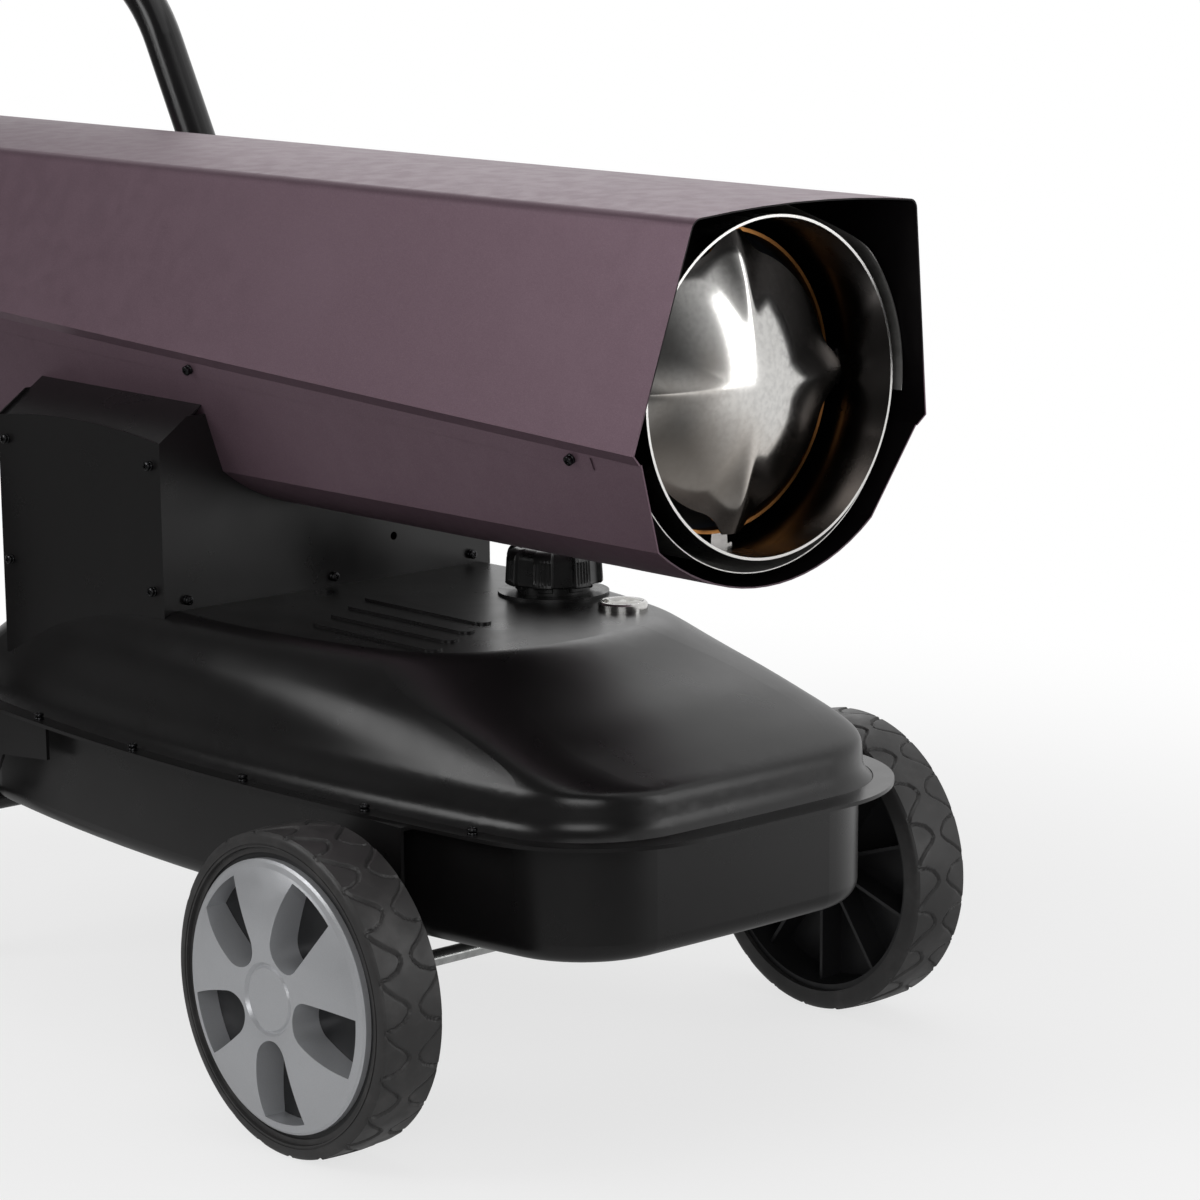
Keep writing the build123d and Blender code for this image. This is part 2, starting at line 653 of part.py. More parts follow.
def tank_upper_half():
    half = tank_lid() - tank_lid(TANK_SHEET) + tank_flange(*TANK_UPPER[0][2:5], TANK_SEAM_Z)
    for x, y, length in BEADS:
        slot = SlotOverall(length, BEAD_W)
        bead = extrude(level(TANK_TOP_Z - TANK_SHEET / 2) * (Pos(x, y) * slot), BEAD_H + TANK_SHEET / 2)
        half += bead
    half -= Pos(CAP_X, CAP_Y, TANK_TOP_Z) * Cylinder(28, 40)
    return half - Pos(GAUGE_X, GAUGE_Y, TANK_TOP_Z) * Cylinder(12, 40)


def tank_lower_half():
    half = tank_pan() - tank_pan(TANK_SHEET)
    half += tank_flange(PAN_END_INSET, PAN_SIDE_INSET, PAN_CORNER_R, TANK_SEAM_Z - TANK_SHEET)
    return half - Pos(TANK_X, 0, TANK_BOTTOM_Z) * Cylinder(9, 20)


def drain_plug():
    z = TANK_BOTTOM_Z
    outline = [(0, z - 9), (11, z - 9), (11, z - 6), (14, z - 6), (14, z), (9, z), (9, z + 6), (0, z + 6)]
    return turned_upright(outline, TANK_X, 0)


def tank_screws():
    """Screws through the flange, on both sides."""
    heads = []
    for x in (-450.0, -305.0, -160.0, -20.0, 90.0):
        y = tank_half_width(x) - 7.5
        heads += screw_heads([((x, side * y, TANK_SEAM_Z + TANK_SHEET), (0, 0, 1)) for side in (-1, 1)])
    return heads


def filler_neck():
    z = TANK_TOP_Z
    outline = [(NECK_BORE_R, z - 10), (28, z - 10), (28, z), (46, z), (46, z + 2.5), (NECK_R, z + 2.5)]
    outline += [(NECK_R, NECK_TOP_Z), (NECK_BORE_R, NECK_TOP_Z)]
    return turned_upright(outline, CAP_X, CAP_Y)


def fuel_cap():
    """Scalloped screw cap with a skirt over the neck."""
    plan = Circle(CAP_R - 4.5)
    for i in range(LOBES):
        plan += Rot(0, 0, 360 / LOBES * i) * (Pos(CAP_R - 8, 0) * Circle(8))
    grip = extrude(level(CAP_Z + 3) * plan, CAP_H - 8)
    top_z = CAP_Z + CAP_H
    dome = [(0, top_z - 6), (CAP_R - 5, top_z - 6), (CAP_R - 8, top_z - 2), (CAP_R - 14, top_z), (0, top_z)]
    lid = turned_upright(dome, 0, 0)
    collar = Pos(0, 0, CAP_Z + 2) * Cylinder(CAP_R - 6, 4)
    cavity = Pos(0, 0, (CAP_Z - 5 + NECK_TOP_Z + 3) / 2) * Cylinder(NECK_R + 1, NECK_TOP_Z + 8 - CAP_Z)
    low, high = NECK_TOP_Z + 0.5, NECK_TOP_Z + 4
    gasket = turned_upright([(NECK_BORE_R, low), (NECK_R, low), (NECK_R, high), (NECK_BORE_R, high)], 0, 0)
    return Pos(CAP_X, CAP_Y, 0) * (grip + lid + collar - cavity + gasket)


def gauge_body():
    """Metal ring on the tank top with the stem that carries the float arm."""
    z = TANK_TOP_Z
    outline = [(4, z - 6), (12, z - 6), (12, z), (GAUGE_R, z), (GAUGE_R, z + 5), (GAUGE_R - 1.5, z + 6.5)]
    outline += [(GAUGE_R - 3, z + 6.5), (GAUGE_R - 3, z + 2), (4, z + 2)]
    ring = turned_upright(outline, GAUGE_X, GAUGE_Y)
    low = (FLOAT_PIVOT_X - 5.5, GAUGE_Y + 3.2, FLOAT_PIVOT_Z - 6)
    stem = box_between(low, (FLOAT_PIVOT_X + 5.5, GAUGE_Y + 6.2, z - 6))
    pivot = (FLOAT_PIVOT_X, GAUGE_Y, FLOAT_PIVOT_Z)
    eye = rod(pivot, (FLOAT_PIVOT_X, GAUGE_Y + 10, FLOAT_PIVOT_Z), FLOAT_PIN_R + RUNNING_GAP)
    return ring + stem - eye


def gauge_lens():
    z = TANK_TOP_Z
    outline = [(0, z + 5), (GAUGE_R - 3, z + 5), (GAUGE_R - 3, z + 6.5), (10, z + 7.6), (0, z + 8)]
    return turned_upright(outline, GAUGE_X, GAUGE_Y)


def float_arm():
    """Arm and float that follow the fuel level."""
    pivot = (FLOAT_PIVOT_X, GAUGE_Y, FLOAT_PIVOT_Z)
    pin = rod((pivot[0], GAUGE_Y - 4, pivot[2]), (pivot[0], GAUGE_Y + 8, pivot[2]), FLOAT_PIN_R)
    arm = rod(pivot, (pivot[0] + FLOAT_REACH, pivot[1], pivot[2] - FLOAT_DROP), 1.5)
    at_ball = Pos(pivot[0] + FLOAT_REACH + 6, pivot[1], pivot[2] - FLOAT_DROP - 1)
    ball = at_ball * Rot(90, 0, 0) * Cylinder(15, 32)
    return pin + arm + ball


# ------------------------------------------------------------------ pedestal
def pedestal_end_outline():
    half = PED_HALF_W
    foot = PED_FOOT_Z
    outline = [(-half, foot), (half, foot), (half, PED_SIDE_Z), (PED_LEDGE_Y, PED_LEDGE_Z)]
    return polygon(outline + [(-PED_LEDGE_Y, PED_LEDGE_Z), (-half, PED_SIDE_Z)])


def pedestal_front():
    panel = cross_plate(pedestal_end_outline(), PED_FRONT_X, PED_SHEET) - tank_lid()
    panel -= casing_blank(PED_FRONT_X - 10, PED_FRONT_X + 10)
    return panel - Pos(PED_FRONT_X, 66, 384) * Rot(0, 90, 0) * Cylinder(3.5, 20)


def pedestal_rear():
    panel = cross_plate(pedestal_end_outline(), PED_REAR_X + PED_SHEET, PED_SHEET) - tank_lid()
    panel -= casing_blank(PED_REAR_X - 10, PED_REAR_X + 10)
    return panel - Pos(PED_REAR_X, GLAND_Y, GLAND_Z) * Rot(0, 90, 0) * Cylinder(GLAND_R, 20)


def pedestal_side():
    """Plain side panel whose top edge is a shallow arch."""
    x0, x1 = PED_REAR_X + PED_SHEET, PED_FRONT_X - PED_SHEET
    wire = [
        Polyline((x0, PED_SIDE_Z), (x0, PED_FOOT_Z), (x1, PED_FOOT_Z), (x1, PED_SIDE_Z)),
        ThreePointArc((x1, PED_SIDE_Z), ((x0 + x1) / 2, PED_SIDE_Z + PED_ARCH), (x0, PED_SIDE_Z)),
    ]
    panel = Pos(0, PED_HALF_W, 0) * extrude(LENGTHWISE * make_face(wire), PED_SHEET)
    return panel - tank_lid()


def pedestal_side_near():
    return mirror(pedestal_side(), about=Plane.XZ)


def pedestal_side_far():
    panel = pedestal_side()
    for x, z, radius in (KNOB_HOLE, RESET_HOLE):
        panel -= Pos(x, PED_HALF_W, z) * Rot(90, 0, 0) * Cylinder(radius, 20)
    x, z = SWITCH_AT
    return panel - Pos(x, PED_HALF_W, z) * Box(26, 20, 18)


def pedestal_ledges():
    """Sloping strips that close the gap between the side panels and the casing."""
    half = PED_HALF_W - PED_SHEET
    rise = (PED_LEDGE_Z - PED_SIDE_Z) / (PED_HALF_W - PED_LEDGE_Y)
    inner = 100.0
    top = PED_SIDE_Z - 2
    inner_top = top + rise * (half - inner)
    outline = [(half, top - PED_SHEET), (half, top), (inner, inner_top), (inner, inner_top - PED_SHEET)]
    x0, x1 = PED_REAR_X + PED_SHEET, PED_FRONT_X - PED_SHEET
    strip = extrude(station(x0) * polygon(outline), x1 - x0) - casing_blank(x0 - 10, x1 + 10)
    return both_sides(strip)


def pedestal_screws():
    half = PED_HALF_W
    corners = [(x, z) for x in (PED_FRONT_X - 13, PED_REAR_X + 13) for z in (468, 366)]
    near = [((x, -half, z), (0, -1, 0)) for x, z in corners]
    far = [((x, half, z), (0, 1, 0)) for x, z in corners]
    front = [((PED_FRONT_X, y, 358), (1, 0, 0)) for y in (-150, 0, 150)]
    rear = [((PED_REAR_X, y, 358), (-1, 0, 0)) for y in (-150, 0, 150)]
    return screw_heads(near + far + front + rear)


def thermostat_body():
    x, z = KNOB_HOLE[:2]
    inside = PED_HALF_W - PED_SHEET
    block = box_between((x - 16, inside - 24, z - 16), (x + 16, inside, z + 16))
    return block - Pos(x, inside, z) * Rot(90, 0, 0) * Cylinder(SPINDLE_R + RUNNING_GAP, 30)


def thermostat_knob():
    """Round knob with a pointer ridge and its spindle."""
    x, z = KNOB_HOLE[:2]
    face = PED_HALF_W
    spindle = rod((x, face - 14, z), (x, face + 3, z), SPINDLE_R)
    skirt = rod((x, face + 1, z), (x, face + 5, z), 19)
    grip = rod((x, face + 4, z), (x, face + 18, z), 15)
    pointer = box_between((x - 1.5, face + 4, z), (x + 1.5, face + 19.5, z + 16))
    return spindle + skirt + grip + pointer


def switch_frame():
    x, z = SWITCH_AT
    face = PED_HALF_W
    rim = box_between((x - 16, face, z - 11), (x + 16, face + 2.5, z + 11))
    body = box_between((x - 13, face - 24, z - 9), (x + 13, face, z + 9))
    frame = rim + body - box_between((x - 11.5, face - 16, z - 7), (x + 11.5, face + 5, z + 7))
    return frame - rod((x, face, z - 8.6), (x, face, z + 8.6), ROCKER_PIN_R + RUNNING_GAP)


def power_switch():
    """Rocker that tips about a pin through its middle."""
    x, z = SWITCH_AT
    face = PED_HALF_W
    outline = [(x - 10, face + 5), (x, face + 2), (x + 10, face + 2), (x + 6, face - 6), (x, face - 9)]
    outline.append((x - 6, face - 6))
    rocker = extrude(level(z - 6.6) * polygon(outline), 13.2)
    return rocker + rod((x, face, z - 8.5), (x, face, z + 8.5), ROCKER_PIN_R)


def reset_frame():
    x, z, radius = RESET_HOLE
    face = PED_HALF_W
    tube = rod((x, face - 18, z), (x, face, z), radius) + rod((x, face, z), (x, face + 2, z), radius + 4)
    return tube - rod((x, face - 14, z), (x, face + 4, z), RESET_R + RUNNING_GAP)


def reset_button():
    x, z = RESET_HOLE[:2]
    return rod((x, PED_HALF_W - 10, z), (x, PED_HALF_W + 5, z), RESET_R)


def cord_gland():
    """Hollow gland through the rear panel."""
    def stub(x0, x1, radius):
        return rod((x0, GLAND_Y, GLAND_Z), (x1, GLAND_Y, GLAND_Z), radius)
    flange = stub(PED_REAR_X - 6, PED_REAR_X, GLAND_R + 5)
    barrel = stub(PED_REAR_X - 12, PED_REAR_X + 12, GLAND_R)
    return flange + barrel - stub(PED_REAR_X - 30, PED_REAR_X + 30, GLAND_R - 5)


def ignition_transformer():
    return box_between((-430, -110, TANK_TOP_Z), (-360, -40, TANK_TOP_Z + 52))


def control_board():
    board = box_between((-420, 20, TANK_TOP_Z + 10), (-340, 120, TANK_TOP_Z + 12))
    posts = [rod((x, y, TANK_TOP_Z), (x, y, TANK_TOP_Z + 10), 3) for x in (-414, -346) for y in (26, 114)]
    for post in posts:
        board += post
    return board + box_between((-410, 40, TANK_TOP_Z + 12), (-380, 70, TANK_TOP_Z + 36))


# ------------------------------------------------------------------ handle, leg and brackets
def handle_tube():
    """One bent tube: up one side, across the rear as the grip and down the other side."""
    y = HANDLE_Y
    points = [(x, -y, z) for x, z in HANDLE_ROUTE] + [(x, y, z) for x, z in reversed(HANDLE_ROUTE)]
    path = FilletPolyline(*points, radius=HANDLE_BENDS + HANDLE_BENDS[::-1])
    start = Plane(origin=path @ 0, z_dir=path % 0)
    outer = sweep(start * Circle(HANDLE_R), path=path)
    return outer - sweep(start * Circle(HANDLE_R - TUBE_WALL), path=path)


def upright_tube(x, y, z0, z1, radius):
    return extrude(level(z0) * Pos(x, y) * (Circle(radius) - Circle(radius - TUBE_WALL)), z1 - z0)


def rear_leg():
    """Two upright tubes with a tie between them, close under the tank."""
    y = BRACKET_Y + LEG_R
    legs = [upright_tube(LEG_X, side * y, FOOT_FLOOR, LEG_TOP_Z, LEG_R) for side in (-1, 1)]
    tie = rod((LEG_X, 1 - y, LEG_TIE_Z), (LEG_X, y - 1, LEG_TIE_Z), LEG_TIE_R)
    tie -= rod((LEG_X, -y, LEG_TIE_Z), (LEG_X, y, LEG_TIE_Z), LEG_TIE_R - TUBE_WALL)
    for side in (-1, 1):
        tie -= Pos(LEG_X, side * y, LEG_TIE_Z) * Cylinder(LEG_R - TUBE_WALL / 2, 40)
    return legs[0] + legs[1] + tie


def rear_feet():
    """Rubber cups on the ends of the legs."""
    top, floor = FOOT_H, FOOT_FLOOR
    outline = [(0, 0), (FOOT_R - 2, 0), (FOOT_R, 3), (FOOT_R - 3, top), (LEG_R, top), (LEG_R, floor)]
    outline.append((0, floor))
    return both_sides(turned_upright(outline, LEG_X, BRACKET_Y + LEG_R))


def rear_bracket():
    """Plate under the tank flange that the handle and the leg are bolted to."""
    y, seat = BRACKET_Y, TANK_SEAM_Z - TANK_SHEET
    outline = [(-445, seat), (-672, seat), (-672, 178), (-654, 160), (-545, 160), (-527, 176)]
    outline += [(-510, 205), (-445, 211)]
    plate = side_plate(outline, -y, BRACKET_SHEET)
    lip = box_between((-555, -y, seat - BRACKET_SHEET), (-445, -y + 12, seat))
    return plate + lip - tank_pan()


def axle_bracket():
    """Plate under the tank flange with the eye for the axle."""
    y, seat = AXLE_BRACKET_Y, TANK_SEAM_Z - TANK_SHEET
    outline = [(-228, seat), (-228, 204), (-193, 193), (-26, 106), (-14, 101), (14, 101)]
    outline += [(22, 106), (30, 172), (30, seat)]
    plate = side_plate(outline, -y, BRACKET_SHEET)
    lip = box_between((-228, -y, seat - BRACKET_SHEET), (30, -y + 20, seat))
    eye = rod((0, -y - 10, AXLE_Z), (0, -y + 10, AXLE_Z), AXLE_R)
    return plate + lip - tank_pan() - eye


def bracket_bolts():
    """Bolts through the tubes into the rear brackets."""
    heads = []
    for z in (190.0, 225.0):
        heads.append(((HANDLE_ROUTE[0][0], -HANDLE_Y - HANDLE_R, z), (0, -1, 0)))
    for z in (175.0, 200.0):
        heads.append(((LEG_X, -BRACKET_Y - 2 * LEG_R, z), (0, -1, 0)))
    near = screw_heads(heads)
    return near + [mirror(h, about=Plane.XZ) for h in near]


# ------------------------------------------------------------------ wheels
def axle():
    """Axle rod with a pressed cap on each end that keeps the wheel on."""
    end = WHEEL_OUT_Y - 10
    bar = rod((0, -end, AXLE_Z), (0, end, AXLE_Z), AXLE_R)
    cap = turned_on_axle([(end - 3, AXLE_R - 1), (end + 1, AXLE_R - 1), (end + 1, 9), (end - 3, 11)])
    caps = both_sides(cap)
    return bar + caps[0] + caps[1]


def axle_spacer():
    y = AXLE_BRACKET_Y
    return turned_on_axle([(y, AXLE_R), (y + 28, AXLE_R), (y + 28, 11), (y, 11)])


def axle_spacers():
    return both_sides(axle_spacer())


def tyre():
    """Solid tyre with rounded shoulders."""
    inner, outer, bore = WHEEL_IN_Y, WHEEL_OUT_Y, TYRE_BORE_R
    outline = [(inner, bore), (inner, WHEEL_R - 9), (inner + 2, WHEEL_R - 3), (inner + 7, WHEEL_R - 0.6),
               ((inner + outer) / 2, WHEEL_R), (outer - 7, WHEEL_R - 0.6), (outer - 2, WHEEL_R - 3),
               (outer, WHEEL_R - 9), (outer, bore + 5), (outer - 2.5, bore + 4), (outer - 2.5, bore)]
    return turned_on_axle(outline)


def wheel_core():
    """Black hub, web, ribs and rim behind the cover."""
    inner, outer, bore = WHEEL_IN_Y, WHEEL_OUT_Y, AXLE_R + RUNNING_GAP
    core = turned_on_axle([(inner - 8, bore), (inner - 8, 20), (outer - 20, 20), (outer - 20, 101),
                           (inner + 4, 103), (inner + 4, TYRE_BORE_R), (outer - 4, TYRE_BORE_R),
                           (outer - 4, COVER_R), (outer - 14, COVER_R), (outer - 14, bore)])
    for i in range(CORE_RIBS):
        rib = box_between((-1.5, -outer + 20, AXLE_Z + 18), (1.5, -inner - 14, AXLE_Z + 102.5))
        core += rib.rotate(WHEEL_AXIS, 360 / CORE_RIBS * i)
    return core


def cover_window():
    """Opening between two spokes, pointing up: wide at the rim, round near the hub."""
    wire = [
        ThreePointArc((-23.7, 93.0), (0, 96.0), (23.7, 93.0)),
        ThreePointArc((23.7, 93.0), (21.2, 65.0), (16.5, 43.0)),
        ThreePointArc((16.5, 43.0), (0, 31.0), (-16.5, 43.0)),
        ThreePointArc((-16.5, 43.0), (-21.2, 65.0), (-23.7, 93.0)),
    ]
    return make_face(wire)


def wheel_cover():
    """Five-spoke cover, swollen between its rim and the hub cap, with open windows."""
    face = WHEEL_OUT_Y
    seat = face - 14

    def at(out, radius):
        return (-face - out, AXLE_Z + radius)
    hubcap = [at(10, HUBCAP_R + 3), at(7.5, HUBCAP_R + 1), at(7.5, HUBCAP_R), at(HUBCAP_OUT, HUBCAP_R - 1.5)]
    back = [at(HUBCAP_OUT, 0), at(-7, 0), at(-7, 14), at(-14, 14), at(-14, COVER_R)]
    rim = [at(1, COVER_R), at(2.4, COVER_R - 2), at(3.4, COVER_R - 6)]
    swell = ThreePointArc(rim[-1], at(11.4, 64), hubcap[0])
    profile = make_face([Polyline(*hubcap, *back, *rim), swell])
    cover = revolve(station(0) * profile, WHEEL_AXIS)
    for i in range(WINDOWS):
        turn = FIRST_WINDOW + 360 / WINDOWS * i
        blank = extrude(LENGTHWISE * (Pos(0, AXLE_Z) * (Rot(0, 0, turn - 90) * cover_window())), 40)
        cover -= Pos(0, -seat + 5, 0) * blank
    return cover


def far_side(make):
    return lambda: mirror(make(), about=Plane.XZ)


NODES = {
    "upper_shell": upper_shell,
    "lower_shell": lower_shell,
    "sheet_screws": lambda: shell_screws() + pedestal_screws(),
    "outlet_tube": outlet_tube,
    "combustion_chamber": combustion_chamber,
    "flame_baffle": flame_baffle,
    "baffle_brackets": baffle_brackets,
    "upper_heat_shield": upper_heat_shield,
    "lower_heat_shield": lower_heat_shield,
    "chamber_saddles": chamber_saddles,
    "burner_head": burner_head,
    "nozzle_holder": nozzle_holder,
    "fuel_nozzle": fuel_nozzle,
    "ignition_electrodes": ignition_electrodes,
    "flame_sensor": flame_sensor,
    "burner_lines": burner_lines,
    "fan": fan,
    "motor_shaft": motor_shaft,
    "pump_rotor": pump_rotor,
    "motor": motor,
    "motor_plate": motor_plate,
    "fan_shroud": fan_shroud,
    "pump_ring": pump_ring,
    "pump_cover": pump_cover,
    "pressure_gauge": pressure_gauge,
    "rear_guard": rear_guard,
    "tank_upper_half": tank_upper_half,
    "tank_lower_half": tank_lower_half,
    "drain_plug": drain_plug,
    "tank_screws": lambda: tank_screws() + bracket_bolts(),
    "filler_neck": filler_neck,
    "fuel_cap": fuel_cap,
    "gauge_body": gauge_body,
    "gauge_lens": gauge_lens,
    "float_arm": float_arm,
    "pedestal_front": pedestal_front,
    "pedestal_rear": pedestal_rear,
    "pedestal_side_near": pedestal_side_near,
    "pedestal_side_far": pedestal_side_far,
    "pedestal_ledges": pedestal_ledges,
    "thermostat_knob": thermostat_knob,
    "control_bodies": lambda: [thermostat_body(), switch_frame(), reset_frame()],
    "power_switch": power_switch,
    "reset_button": reset_button,
    "cord_gland": cord_gland,
    "ignition_transformer": ignition_transformer,
    "control_board": control_board,
    "handle_tube": handle_tube,
    "rear_leg": rear_leg,
    "rear_feet": rear_feet,
    "axle_brackets": lambda: both_sides(axle_bracket()),
    "rear_brackets": lambda: both_sides(rear_bracket()),
    "axle": axle,
    "axle_spacers": axle_spacers,
    "tyre_near": tyre,
    "wheel_core_near": wheel_core,
    "wheel_cover_near": wheel_cover,
    "tyre_far": far_side(tyre),
    "wheel_core_far": far_side(wheel_core),
    "wheel_cover_far": far_side(wheel_cover),
}


def main():
    os.makedirs("parts", exist_ok=True)
    for name, make in NODES.items():
        made = make()
        pieces = made if isinstance(made, list) else [made]
        moved = [Pos(ORIGIN_SHIFT, 0, 0) * piece for piece in pieces]
        export_step(moved[0] if len(moved) == 1 else Compound(children=moved), f"parts/{name}.step")


main()
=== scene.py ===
import json
import math

import bmesh
import bpy
from mathutils import Matrix, Vector

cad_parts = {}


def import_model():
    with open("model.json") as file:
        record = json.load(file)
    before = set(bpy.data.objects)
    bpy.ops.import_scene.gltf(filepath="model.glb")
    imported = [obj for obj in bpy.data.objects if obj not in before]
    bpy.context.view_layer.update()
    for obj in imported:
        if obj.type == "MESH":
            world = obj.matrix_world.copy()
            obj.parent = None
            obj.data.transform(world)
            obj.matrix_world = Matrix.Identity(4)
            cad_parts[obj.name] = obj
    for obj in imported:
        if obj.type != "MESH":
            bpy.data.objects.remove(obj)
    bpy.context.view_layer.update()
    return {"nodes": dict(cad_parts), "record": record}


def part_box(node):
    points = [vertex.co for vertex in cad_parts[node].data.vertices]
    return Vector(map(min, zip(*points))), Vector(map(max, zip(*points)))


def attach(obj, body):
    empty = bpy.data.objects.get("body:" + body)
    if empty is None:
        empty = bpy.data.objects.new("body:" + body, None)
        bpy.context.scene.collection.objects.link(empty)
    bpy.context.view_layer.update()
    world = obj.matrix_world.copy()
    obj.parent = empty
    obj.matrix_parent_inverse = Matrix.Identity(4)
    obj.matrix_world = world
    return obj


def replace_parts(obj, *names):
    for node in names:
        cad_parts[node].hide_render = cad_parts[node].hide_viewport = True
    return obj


# Looks of a two-wheeled forced air heater. Metres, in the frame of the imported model: +X is the way the
# hot air leaves, +Z is up, and the camera stands in front of the heater on its near (-Y) side.

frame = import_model()

# ------------------------------------------------------------------ places read from the model
TUBE_LOW, TUBE_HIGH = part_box("outlet_tube")
BURNER_Z = (TUBE_LOW.z + TUBE_HIGH.z) / 2
CHAMBER_RIM_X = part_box("combustion_chamber")[1].x
SLOT_OF = {part["node"]: part["material_slot"] for part in frame["record"]["subparts"]}
BODY_OF = {node: body for body, nodes in frame["record"]["behaviour"]["bodies"].items() for node in nodes}
MM = 0.001

# ------------------------------------------------------------------ colours, linear
AUBERGINE = (0.175, 0.110, 0.140, 1)
AUBERGINE_LIGHT = (0.240, 0.162, 0.200, 1)
# painted shade: near-black colour for the casing's inside faces, where little light reaches
PAINTED_INSIDE_SHADE = (0.010, 0.008, 0.009, 1)
TANK_BLACK = (0.0075, 0.0070, 0.0072, 1)
TUBE_BLACK = (0.010, 0.0095, 0.010, 1)
PLASTIC_BLACK = (0.012, 0.012, 0.012, 1)
RUBBER_BLACK = (0.034, 0.033, 0.033, 1)
RUBBER_DUSTY = (0.085, 0.081, 0.080, 1)
WHEEL_SILVER = (0.56, 0.57, 0.59, 1)
STEEL = (0.72, 0.71, 0.69, 1)
STEEL_WARM = (0.52, 0.46, 0.40, 1)
STEEL_DARK = (0.42, 0.41, 0.40, 1)
TUBE_STEEL = (0.150, 0.140, 0.138, 1)
BRONZE = (0.40, 0.26, 0.20, 1)
GOLD = (0.70, 0.32, 0.10, 1)
BLUE = (0.50, 0.55, 0.66, 1)
ZINC = (0.66, 0.67, 0.66, 1)


# ------------------------------------------------------------------ node helpers
def set_range(node, *levels):
    """Sets what a map range node takes in, low and high, and what it gives out."""
    for socket, number in zip(("From Min", "From Max", "To Min", "To Max"), levels):
        node.inputs[socket].default_value = number


class Look:
    """A material with short calls for its nodes. Patterns follow the piece's own coordinates, in metres."""

    def __init__(self, name, color=None, **sockets):
        self.material = bpy.data.materials.new(name)
        self.material.use_nodes = True
        self.tree = self.material.node_tree
        self.tree.nodes.clear()
        self.out = self.tree.nodes.new("ShaderNodeOutputMaterial")
        self.shader = self.tree.nodes.new("ShaderNodeBsdfPrincipled")
        self.link(self.shader.outputs[0], self.out.inputs["Surface"])
        self.place = self.tree.nodes.new("ShaderNodeTexCoord").outputs["Object"]
        if color:
            self.shader.inputs["Base Color"].default_value = color
        for socket, value in sockets.items():
            self.shader.inputs[socket.replace("_", " ")].default_value = value

    def link(self, source, target):
        self.tree.links.new(source, target)

    def feed(self, target, value):
        if isinstance(value, bpy.types.NodeSocket):
            self.link(value, target)
        else:
            target.default_value = value

    def wear(self, socket, value):
        """Drives one of the shader's sockets."""
        self.feed(self.shader.inputs[socket], value)

    def math(self, operation, a, b):
        node = self.tree.nodes.new("ShaderNodeMath")
        node.operation = operation
        self.feed(node.inputs[0], a)
        self.feed(node.inputs[1], b)
        return node.outputs[0]

    def span(self, value, low, high, to_low=0.0, to_high=1.0, smooth=True):
        """Maps low..high of a value to to_low..to_high, and holds it outside."""
        node = self.tree.nodes.new("ShaderNodeMapRange")
        node.interpolation_type = "SMOOTHSTEP" if smooth else "LINEAR"
        self.feed(node.inputs["Value"], value)
        set_range(node, low, high, to_low, to_high)
        return node.outputs["Result"]

    def mix(self, factor, a, b):
        node = self.tree.nodes.new("ShaderNodeMix")
        node.data_type = "RGBA"
        self.feed(node.inputs["Factor"], factor)
        self.feed(node.inputs[6], a)
        self.feed(node.inputs[7], b)
        return node.outputs[2]

    def stretched(self, x, y, z):
        node = self.tree.nodes.new("ShaderNodeMapping")
        self.link(self.place, node.inputs["Vector"])
        node.inputs["Scale"].default_value = (x, y, z)
        return node.outputs["Vector"]

    def noise(self, scale, detail=3.0, roughness=0.55, place=None):
        node = self.tree.nodes.new("ShaderNodeTexNoise")
        self.link(place or self.place, node.inputs["Vector"])
        node.inputs["Scale"].default_value = scale
        node.inputs["Detail"].default_value = detail
        node.inputs["Roughness"].default_value = roughness
        return node.outputs["Fac"]

    def flakes(self, scale):
        node = self.tree.nodes.new("ShaderNodeTexVoronoi")
        self.link(self.place, node.inputs["Vector"])
        node.inputs["Scale"].default_value = scale
        return node.outputs["Color"]

    def axis(self, letter):
        node = self.tree.nodes.new("ShaderNodeSeparateXYZ")
        self.link(self.place, node.inputs[0])
        return node.outputs["XYZ".index(letter)]

    def normal(self):
        return self.tree.nodes.new("ShaderNodeNewGeometry").outputs["Normal"]

    def distance(self):
        """How far a point lies from the piece's origin."""
        return self.vector("LENGTH", self.place, (0, 0, 0))

    def vector(self, operation, a, b):
        node = self.tree.nodes.new("ShaderNodeVectorMath")
        node.operation = operation
        self.feed(node.inputs[0], a)
        self.feed(node.inputs[1], b)
        return node.outputs["Value" if operation in ("DOT_PRODUCT", "LENGTH") else "Vector"]

    def bump(self, height, strength, distance):
        node = self.tree.nodes.new("ShaderNodeBump")
        node.inputs["Strength"].default_value = strength
        node.inputs["Distance"].default_value = distance
        self.link(height, node.inputs["Height"])
        return node.outputs["Normal"]

    def facing_axis(self, z):
        """1 on faces that look towards the lengthwise axis at height z, 0 on faces that look away from it."""
        away = self.vector("SUBTRACT", self.place, (0, 0, z))
        flat = self.vector("MULTIPLY", away, (0, 1, 1))
        return self.span(self.vector("DOT_PRODUCT", flat, self.normal()), 0.004, -0.004)

    def grain(self, scale, strength, depth):
        """Fine relief of a coating or a moulding."""
        self.wear("Normal", self.bump(self.noise(scale, 2.0), strength, depth))


def shaded(color, share):
    return tuple(part * share for part in color[:3]) + (1,)


